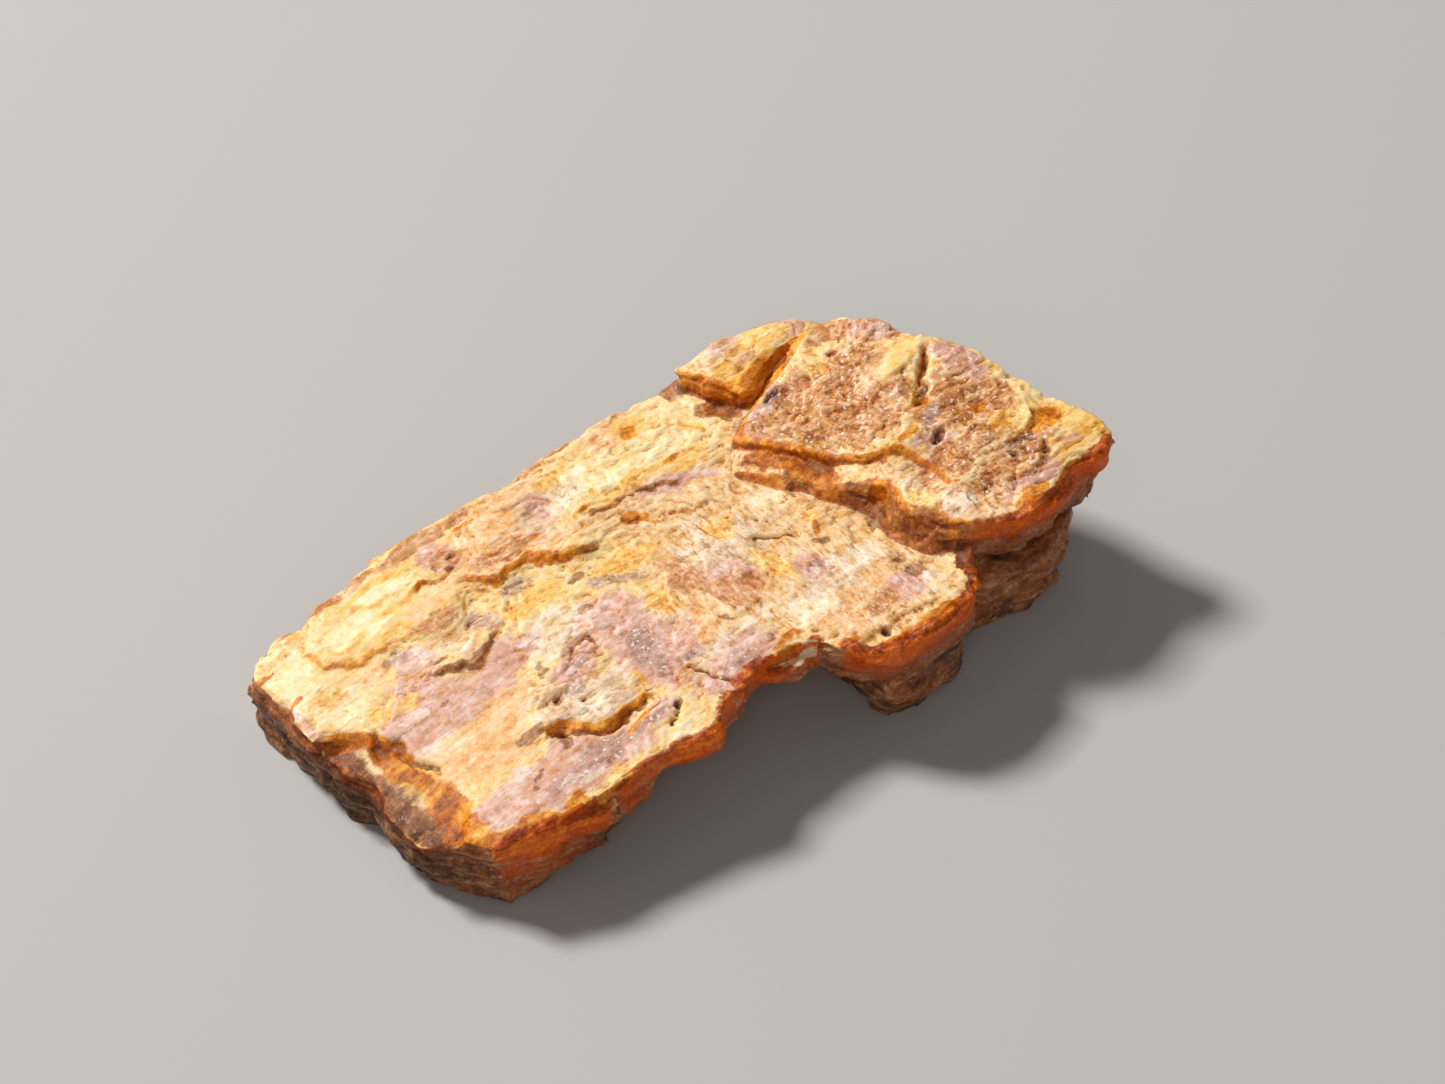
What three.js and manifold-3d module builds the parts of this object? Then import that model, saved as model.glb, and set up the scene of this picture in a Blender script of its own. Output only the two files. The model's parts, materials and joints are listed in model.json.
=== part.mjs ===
// A broken, bladed crystal of orange kyanite that lies on a flat cleavage facet.
// Millimetres, +Z up. +X runs along the blade, towards its raised end.
// The crystal is a stack of cleavage sheets. Each sheet is an outline with its own wall,
// kept between an uneven top and an uneven underside, and all of them are joined in one solid.

import * as THREE from 'three';
import { mergeVertices } from 'three/addons/utils/BufferGeometryUtils.js';
import { ImprovedNoise } from 'three/addons/math/ImprovedNoise.js';
import Module from 'manifold-3d';

const wasm = await Module();
wasm.setup();

// ---- Driving dimensions ----

const bladeHeight = 3.77; // upper cleavage face of the blade, above the middle of its length
const bladeRise = 0.09; // that face climbs this much for each millimetre of length
const valley = { // the blade dips along the foot of the end block
  depth: 0.22, foot: 5.3, slant: 0.42, slantStart: -1, floorHalfWidth: 0.2, halfWidth: 1.7,
  fadeStart: 1.6, fadeEnd: 3.4,
};
const stripHeight = 0.22; // back strip above the blade, where it is thickest
const sliverHeight = 0.16; // sliver between the strip's two ledges
const moundHeight = 5.12; // rounded mound behind the valley
const lumpHeight = 0.16; // lumpy patch by the crevice
const flakeHeight = 0.3; // upper flake of the end block above the block's lower flake
const footLayerHeight = 3.05; // lowest layer, which shows under the block's overhang
const cornerLift = 0.55; // the front corner's underside stands this far off the ground
const blockSeat = 3.55; // underside of the block where it overhangs
const archLift = 2.85; // the front overhang's underside, at its highest
const notchLip = { low: 2.75, high: 3.2 }; // thin sheet that sticks out under the notch
const shelf = { depth: 0.14, start: -10.5, slope: 0.28 }; // broken left end, which falls outwards
const creviceDepth = 0.26;
const rootDepth = 0.6; // how far a sheet reaches down into the one below it

const facetSize = 0.75; // width of the uneven faces' facets
const ringHeight = 0.45; // height of the facets of a wall
const wallRelief = 0.5; // how far the edges of the cleavage sheets stand out in a wall
const wallGrain = 2.4; // length of a bulge in a wall
const sheetSpread = 4; // a bulge in a wall is this much lower than it is long
const faceGrain = 2.1; // size of a bulge in a face
const spineHalfLength = 9; // walls bulge away from this line along the middle of the blade
const openTop = 6.5; // above every face
const wallMargin = 0.1; // walls reach this far past the faces that cut them
const weldDistance = 1e-4;

// ---- Outlines seen from above, as [x, y], anticlockwise ----

const bladeEnd = [
  [-12.2, 5.7], [-12.3, 4.6], [-12.4, 3.1], [-12.3, 2.3], [-12.3, 1.2], [-12.0, 0.3],
  [-12.3, -0.8], [-12.4, -1.7], [-12.3, -2.5], [-11.6, -3.5], [-11.1, -4.7],
];
const bladeFront = [
  [-10.4, -4.7], [-9.7, -4.9], [-7.9, -5.3], [-6.6, -5.5], [-5.5, -5.5], [-4.5, -5.7],
  [-3.7, -5.8], [-2.9, -5.4], [-2.0, -5.1], [-1.1, -4.7], [0.0, -4.7],
];
const nose = [
  [0.4, -5.2], [0.8, -5.9], [1.2, -6.6], [2.0, -7.0], [3.2, -7.2], [4.9, -7.1], [5.7, -6.6],
  [6.0, -6.0],
];
const bladeRight = [
  [6.6, -5.7], [8.6, -5.4], [10.4, -5.1], [11.2, -4.4], [11.5, -2.5], [11.1, -0.6], [11.2, 0.2],
  [10.5, 1.1], [10.1, 2.5], [9.4, 3.2], [8.9, 4.6],
];
const bladeBack = [
  [7.0, 5.6], [5.4, 5.8], [3.9, 5.9], [2.0, 6.3], [-0.5, 6.3], [-2.1, 6.3], [-3.5, 6.5],
  [-4.6, 6.9], [-6.1, 6.9], [-7.4, 6.6], [-8.2, 6.3], [-9.1, 6.5], [-9.9, 6.2], [-10.6, 6.4],
  [-11.6, 6.2],
];
const bladeOutline = [...bladeEnd, ...bladeFront, ...nose, ...bladeRight, ...bladeBack];

const stripOutline = [
  [-11.5, 5.8], [-10.8, 5.2], [-10.4, 4.3], [-8.7, 3.5], [-7.9, 2.9], [-7.2, 2.6], [-6.4, 2.8],
  [-5.5, 3.9], [-5.2, 3.6], [-4.7, 3.0], [-4.2, 3.1], [-3.4, 3.2], [-2.8, 2.5], [-2.1, 2.2],
  [-1.5, 2.2], [-1.2, 3.4], [-0.6, 3.4], [0.3, 3.0], [1.2, 2.5], [2.2, 2.2], [3.9, 2.4],
  [8.9, 3.6], [8.9, 4.6], ...bladeBack,
];
const sliverOutline = [
  [-2.4, 3.4], [-1.9, 2.3], [-1.3, 2.4], [-0.6, 2.7], [-0.1, 2.3], [0.5, 1.5], [1.5, 1.4],
  [2.4, 1.1], [3.6, 1.8], [4.2, 2.6], [1.5, 3.6],
];
const moundOutline = [
  [4.5, 5.6], [4.8, 4.9], [5.1, 4.1], [5.2, 3.6], [5.6, 3.4], [6.2, 3.6], [6.8, 3.8],
  [7.6, 4.0], [8.6, 4.1], [9.6, 4.2], [9.1, 5.1], [8.1, 5.6], [6.2, 5.8],
];
const lumpOutline = [
  [-6.1, -0.9], [-4.9, -1.5], [-4.2, -2.6], [-4.5, -3.4], [-5.2, -3.5], [-5.9, -3.8],
  [-6.5, -3.6], [-6.9, -2.6], [-7.6, -2.0], [-7.1, -1.3],
];
const blockRim = [
  [3.4, 2.4], [3.9, 1.9], [4.2, 1.3], [4.8, 0.1], [5.2, -0.8], [5.2, -1.2], [5.7, -2.0],
  [5.9, -2.4], [6.1, -3.0], [5.8, -3.5], [5.8, -4.0], [6.1, -4.9], [6.4, -5.6],
];
const blockFront = [
  [6.9, -6.0], [7.7, -6.5], [8.8, -6.4], [9.7, -6.2], [10.6, -5.9], [11.7, -6.1], [12.4, -5.8],
];
const blockBack = [
  [12.5, -5.0], [12.3, -4.1], [12.1, -3.2], [12.0, -2.2], [12.0, -1.4], [11.8, -0.5],
  [11.3, 0.4], [10.9, 1.4], [10.4, 2.5], [9.8, 3.5], [8.6, 3.9], [7.3, 3.5], [6.0, 3.0],
  [4.8, 2.7],
];
const flakeRim = [
  [4.1, 2.3], [4.4, 1.6], [5.0, 0.4], [5.5, -0.4], [6.0, -1.3], [6.5, -1.6], [7.0, -2.1],
  [7.3, -3.2], [7.2, -4.4], [6.9, -5.5],
];
const footLayerOutline = [
  [5.8, -4.8], [6.6, -6.2], [7.6, -6.3], [9.0, -6.5], [10.2, -6.3], [11.2, -5.7], [11.7, -4.9],
  [11.6, -3.2], [11.2, -0.8], [10.4, 1.6], [8.4, 2.0],
];
const notchLipOutline = [
  [-1.5, -4.5], [-1.0, -5.0], [-0.4, -5.3], [0.3, -5.4], [0.9, -5.2], [1.2, -4.2], [-1.0, -4.0],
];

// Broken places, cut down into the blade.
const endShelfOutline = [
  [-11.9, 2.1], [-11.2, 1.5], [-10.9, 0.8], [-10.7, 0.3], [-10.5, -0.8], [-10.5, -1.9],
  [-10.7, -2.8], [-11.4, -3.5], [-13.5, -3.5], [-13.5, 2.1],
];
const creviceOutline = [
  [-7.9, -2.2], [-7.1, -2.7], [-6.7, -3.7], [-5.9, -4.1], [-5.2, -3.8], [-4.3, -3.7],
  [-4.0, -3.2], [-4.4, -3.2], [-5.1, -3.3], [-5.8, -3.5], [-6.3, -3.3], [-6.8, -2.3],
];

const noise = new ImprovedNoise();
const { smoothstep } = THREE.MathUtils;

function bulge(x, y, z, grain) {
  return noise.noise(x / grain + 3.3, y / grain + 5.7, z / grain + 1.9);
}

// ---- Heights of the faces ----

function bladeFace(x, y) {
  const valleyX = valley.foot - valley.slant * Math.max(0, y - valley.slantStart);
  const across = 1 - smoothstep(Math.abs(x - valleyX), valley.floorHalfWidth, valley.halfWidth);
  const dip = valley.depth * across * (1 - smoothstep(y, valley.fadeStart, valley.fadeEnd));
  const level = bladeHeight + bladeRise * x - dip;
  return level + 0.16 * bulge(x, y, 0, faceGrain);
}

// The underside is level, except under the front corner, along the front overhang and where
// its back and right edges are chipped.
function bladeUnderside(x, y) {
  const corner = cornerLift * smoothstep(-y, 0.3, 2.4) * smoothstep(-x, 6.5, 9);
  const overhang = smoothstep(x, -9.6, -4.8) * (1 - smoothstep(x, 1.4, 2.9));
  const arch = archLift * overhang * smoothstep(-y, 2.0, 4.4);
  const backChip = 0.9 * smoothstep(y, 4.2, 6.6) * smoothstep(x, -9, -6);
  const rightChip = 0.7 * smoothstep(x, 8.6, 11.5);
  return corner + arch + backChip + rightChip - 0.3 + 0.5 * bulge(x, y, 9, faceGrain);
}

function stripFace(x, y) {
  const height = stripHeight * (0.3 + 0.7 * smoothstep(x, -10.5, -6.5));
  return bladeFace(x, y) + height + 0.12 * bulge(x, y, 4, faceGrain);
}

function sliverFace(x, y) {
  return bladeFace(x, y) + sliverHeight;
}

function lumpFace(x, y) {
  return bladeFace(x, y) + lumpHeight + 0.3 * bulge(x, y, 3, 1.1);
}

function moundFace(x, y) {
  const crown = 1 - ((x - 7.0) / 4.2) ** 2 - ((y - 4.9) / 3.4) ** 2;
  return moundHeight + 0.6 * (crown - 0.75) + 0.25 * bulge(x, y, 2, 1.4);
}

// Two slopes of the end block meet in a low ridge.
function blockFace(x, y) {
  const towardsBlade = 3.99 + 0.189 * x - 0.06 * y;
  const towardsTip = 5.45 + 0.023 * x + 0.093 * y;
  return Math.min(towardsBlade, towardsTip) + 0.3 * bulge(x, y, 6, 1.5);
}

function shelfFloor(x, y) {
  return bladeFace(x, y) - shelf.depth - shelf.slope * Math.max(0, shelf.start - x);
}

// The upper flake thins out towards the front.
function lowerBlockFace(x, y) {
  return blockFace(x, y) - flakeHeight * (1 - smoothstep(-y, 2.4, 5));
}

// The groove under the block's overhang closes towards the back.
function footLayerFace(x, y) {
  return footLayerHeight + 1.3 * smoothstep(y, -4.4, -0.8) + 0.3 * bulge(x, y, 5, faceGrain);
}

function footLayerUnderside(x, y) {
  return bladeUnderside(x, y) - 0.1;
}

function blockUnderside(x, y) {
  return blockSeat + 0.5 * bulge(x, y, 8, faceGrain);
}

const level = (height) => () => height;
const below = (face, depth) => (x, y) => face(x, y) - depth;

// ---- Walls: how far each point of an outline moves at a height ----

const upright = () => [0, 0];

function bladeLean(x, y, z) {
  const depth = Math.max(0, bladeHeight + bladeRise * x - 0.8 - z);
  const end = x < -11 ? 0.26 * depth : 0;
  const front = y < -4 ? 0.18 * depth : 0;
  const back = y > 4 && x < -9 ? 0.35 * depth : 0;
  return [end, front + back];
}

// The block's riser spreads as it goes down to the blade, and its tip draws in.
function blockLean(x, y, z) {
  const depth = Math.max(0, 5.2 - z);
  const riser = x < 6.2 && y > -5.7 ? -0.7 * depth : 0;
  const tip = x > 9 ? -0.38 * depth : 0;
  return [riser + tip, 0];
}

function footLayerLean(x, y, z) {
  const depth = Math.max(0, 2.2 - z);
  return [x > 11 ? -0.35 * depth : 0, y < -5 ? 0.38 * depth : 0];
}

// ---- Solids ----

function solidOf(geometry) {
  geometry.deleteAttribute('normal');
  geometry.deleteAttribute('uv');
  const welded = mergeVertices(geometry, weldDistance);
  const mesh = new wasm.Mesh({
    numProp: 3,
    vertProperties: Float32Array.from(welded.attributes.position.array),
    triVerts: Uint32Array.from(welded.index.array),
  });
  return new wasm.Manifold(mesh);
}

function moveVertices(geometry, move) {
  const position = geometry.attributes.position;
  const point = new THREE.Vector3();
  for (let i = 0; i < position.count; i += 1) {
    point.fromBufferAttribute(position, i);
    move(point);
    position.setXYZ(i, point.x, point.y, point.z);
  }
  return geometry;
}

function boundsOf(outline) {
  return new THREE.Box2().setFromPoints(outline.map(([x, y]) => new THREE.Vector2(x, y)));
}

// The space between two uneven faces, over the whole of an outline and a little more.
function spaceBetween(outline, face, underside) {
  const bounds = boundsOf(outline).expandByScalar(1.5);
  const size = bounds.getSize(new THREE.Vector2());
  const centre = bounds.getCenter(new THREE.Vector2());
  const columns = Math.round(size.x / facetSize);
  const rows = Math.round(size.y / facetSize);
  const block = new THREE.BoxGeometry(size.x, size.y, 1, columns, rows, 1);
  return moveVertices(block, (point) => {
    point.x += centre.x;
    point.y += centre.y;
    point.z = point.z > 0 ? face(point.x, point.y) : underside(point.x, point.y);
  });
}

function awayFromSpine(x, y) {
  const spineX = THREE.MathUtils.clamp(x, -spineHalfLength, spineHalfLength);
  return new THREE.Vector2(x - spineX, y).normalize();
}

function wallOf(outline, low, high, lean) {
  const shape = new THREE.Shape(outline.map(([x, y]) => new THREE.Vector2(x, y)));
  const steps = Math.ceil((high - low) / ringHeight);
  const wall = new THREE.ExtrudeGeometry(shape, { depth: high - low, steps, bevelEnabled: false });
  return moveVertices(wall, (point) => {
    point.z += low;
    const [leanX, leanY] = lean(point.x, point.y, point.z);
    const outward = awayFromSpine(point.x, point.y);
    const relief = wallRelief * bulge(point.x, point.y, point.z * sheetSpread, wallGrain);
    point.x += leanX + relief * outward.x;
    point.y += leanY + relief * outward.y;
  });
}

function sheet(outline, face, underside, lean = upright) {
  const space = spaceBetween(outline, face, underside);
  space.computeBoundingBox();
  const { min, max } = space.boundingBox;
  const wall = wallOf(outline, min.z - wallMargin, max.z + wallMargin, lean);
  return solidOf(wall).intersect(solidOf(space));
}

// ---- The crystal ----

const groundOutline = [[-15, -10], [15, -10], [15, 10], [-15, 10]];
const blockOutline = [...blockRim, ...blockFront, ...blockBack];
const flakeOutline = [...flakeRim, ...blockFront, ...blockBack.slice(0, -2)];

const sheets = [
  sheet(bladeOutline, bladeFace, bladeUnderside, bladeLean),
  sheet(stripOutline, stripFace, below(bladeFace, rootDepth)),
  sheet(sliverOutline, sliverFace, below(bladeFace, rootDepth)),
  sheet(lumpOutline, lumpFace, below(bladeFace, rootDepth)),
  sheet(moundOutline, moundFace, below(bladeFace, rootDepth)),
  sheet(blockOutline, lowerBlockFace, blockUnderside, blockLean),
  sheet(flakeOutline, blockFace, below(lowerBlockFace, rootDepth)),
  sheet(footLayerOutline, footLayerFace, footLayerUnderside, footLayerLean),
  sheet(notchLipOutline, level(notchLip.high), level(notchLip.low)),
];
const hollows = [
  sheet(endShelfOutline, level(openTop), shelfFloor),
  sheet(creviceOutline, level(openTop), below(bladeFace, creviceDepth)),
];
const aboveGround = sheet(groundOutline, level(openTop), level(0));

const grown = sheets.reduce((joined, next) => joined.add(next));
const broken = hollows.reduce((left, hollow) => left.subtract(hollow), grown);
const crystal = broken.intersect(aboveGround);

function geometryOf(solid) {
  const { vertProperties, triVerts } = solid.getMesh();
  const geometry = new THREE.BufferGeometry();
  geometry.setAttribute('position', new THREE.BufferAttribute(vertProperties, 3));
  geometry.setIndex(new THREE.BufferAttribute(triVerts, 1));
  return geometry;
}

// The origin is on the ground, under the middle of the crystal's box.
function centred(geometry) {
  geometry.computeBoundingBox();
  const { min, max } = geometry.boundingBox;
  return geometry.translate(-(min.x + max.x) / 2, -(min.y + max.y) / 2, -min.z);
}

const orangeStone = new THREE.MeshStandardMaterial({ color: 0xd98a3d, roughness: 0.5, metalness: 0 });
const crystalMesh = new THREE.Mesh(centred(geometryOf(crystal)), orangeStone);
crystalMesh.name = 'kyanite_crystal';

const group = new THREE.Group();
group.add(crystalMesh);

export default group;
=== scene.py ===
# Orange kyanite crystal: detail, finish, floor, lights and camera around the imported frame.
import json
import math

import bpy
import numpy as np
from mathutils import Matrix, Vector

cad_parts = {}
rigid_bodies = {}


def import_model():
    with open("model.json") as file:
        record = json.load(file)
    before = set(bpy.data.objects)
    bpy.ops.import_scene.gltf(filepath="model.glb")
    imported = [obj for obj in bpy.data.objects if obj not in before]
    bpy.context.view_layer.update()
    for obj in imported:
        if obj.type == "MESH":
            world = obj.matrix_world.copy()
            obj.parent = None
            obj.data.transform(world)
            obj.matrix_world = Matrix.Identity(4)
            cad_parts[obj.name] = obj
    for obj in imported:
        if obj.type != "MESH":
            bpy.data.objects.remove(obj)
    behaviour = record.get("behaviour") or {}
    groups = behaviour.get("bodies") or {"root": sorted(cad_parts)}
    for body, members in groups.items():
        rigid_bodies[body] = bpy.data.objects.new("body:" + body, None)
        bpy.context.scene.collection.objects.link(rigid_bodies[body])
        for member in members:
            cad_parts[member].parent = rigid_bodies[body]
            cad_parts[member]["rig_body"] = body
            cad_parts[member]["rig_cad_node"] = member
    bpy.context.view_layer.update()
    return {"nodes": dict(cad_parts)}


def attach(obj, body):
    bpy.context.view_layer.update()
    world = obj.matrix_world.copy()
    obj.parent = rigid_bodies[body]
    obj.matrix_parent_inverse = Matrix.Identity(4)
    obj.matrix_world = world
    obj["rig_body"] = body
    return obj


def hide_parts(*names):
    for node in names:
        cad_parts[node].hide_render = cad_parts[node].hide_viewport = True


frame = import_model()
mm = 0.001

print("frame loaded:", sorted(frame["nodes"]))

cameraSetup = {
    "azimuth": -42.0,  # degrees round from looking along +Y
    "elevation": 43.0,
    "lens": 90.0,  # on a 36 mm wide sensor
    "distance": 109.5 * mm,
    "aim": (1.43 * mm, 0.05 * mm, 3.5 * mm),
    "clipStart": 5 * mm,
    "clipEnd": 10.0,
}


def addCamera(setup):
    azimuth = math.radians(setup["azimuth"])
    elevation = math.radians(setup["elevation"])
    back = Vector((
        math.sin(azimuth) * math.cos(elevation),
        -math.cos(azimuth) * math.cos(elevation),
        math.sin(elevation),
    ))
    bpy.ops.object.camera_add(location=Vector(setup["aim"]) + back * setup["distance"])
    camera = bpy.context.active_object
    camera.name = "camera"
    camera.rotation_euler = (-back).to_track_quat("-Z", "Y").to_euler()
    camera.data.lens = setup["lens"]
    camera.data.clip_start = setup["clipStart"]
    camera.data.clip_end = setup["clipEnd"]
    bpy.context.scene.camera = camera


addCamera(cameraSetup)

studio = {
    "floorSize": 4.0,
    "floorColor": (0.5, 0.49, 0.48, 1),
    "floorRoughness": 0.8,
    "skyColor": (1.0, 0.97, 0.93, 1),
    "skyStrength": 0.15,
    "lamps": {  # name: (place, size, power, colour); each lamp points at the crystal
        "windowLight": ((-0.1, 0.3, 0.36), 0.1, 2.6, (1, 0.97, 0.93)),
        "frontFill": ((-0.45, -0.5, 0.5), 0.5, 1.0, (1, 0.97, 0.94)),
    },
}


def addStudio(setup):
    bpy.ops.mesh.primitive_plane_add(size=setup["floorSize"])
    floor = bpy.context.active_object
    floor.name = "floor"
    paper = bpy.data.materials.new("palePaper")
    paper.use_nodes = True
    shader = paper.node_tree.nodes["Principled BSDF"]
    shader.inputs["Base Color"].default_value = setup["floorColor"]
    shader.inputs["Roughness"].default_value = setup["floorRoughness"]
    floor.data.materials.append(paper)
    for name, (place, size, power, color) in setup["lamps"].items():
        bpy.ops.object.light_add(type="AREA", location=place)
        lamp = bpy.context.active_object
        lamp.name = name
        lamp.rotation_euler = (-Vector(place)).to_track_quat("-Z", "Y").to_euler()
        lamp.data.size = size
        lamp.data.energy = power
        lamp.data.color = color
    world = bpy.data.worlds.new("softRoom")
    world.use_nodes = True
    background = world.node_tree.nodes["Background"]
    background.inputs["Color"].default_value = setup["skyColor"]
    background.inputs["Strength"].default_value = setup["skyStrength"]
    bpy.context.scene.world = world
    bpy.context.scene.view_settings.view_transform = "Standard"


addStudio(studio)
print("camera, floor and lights placed")

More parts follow.
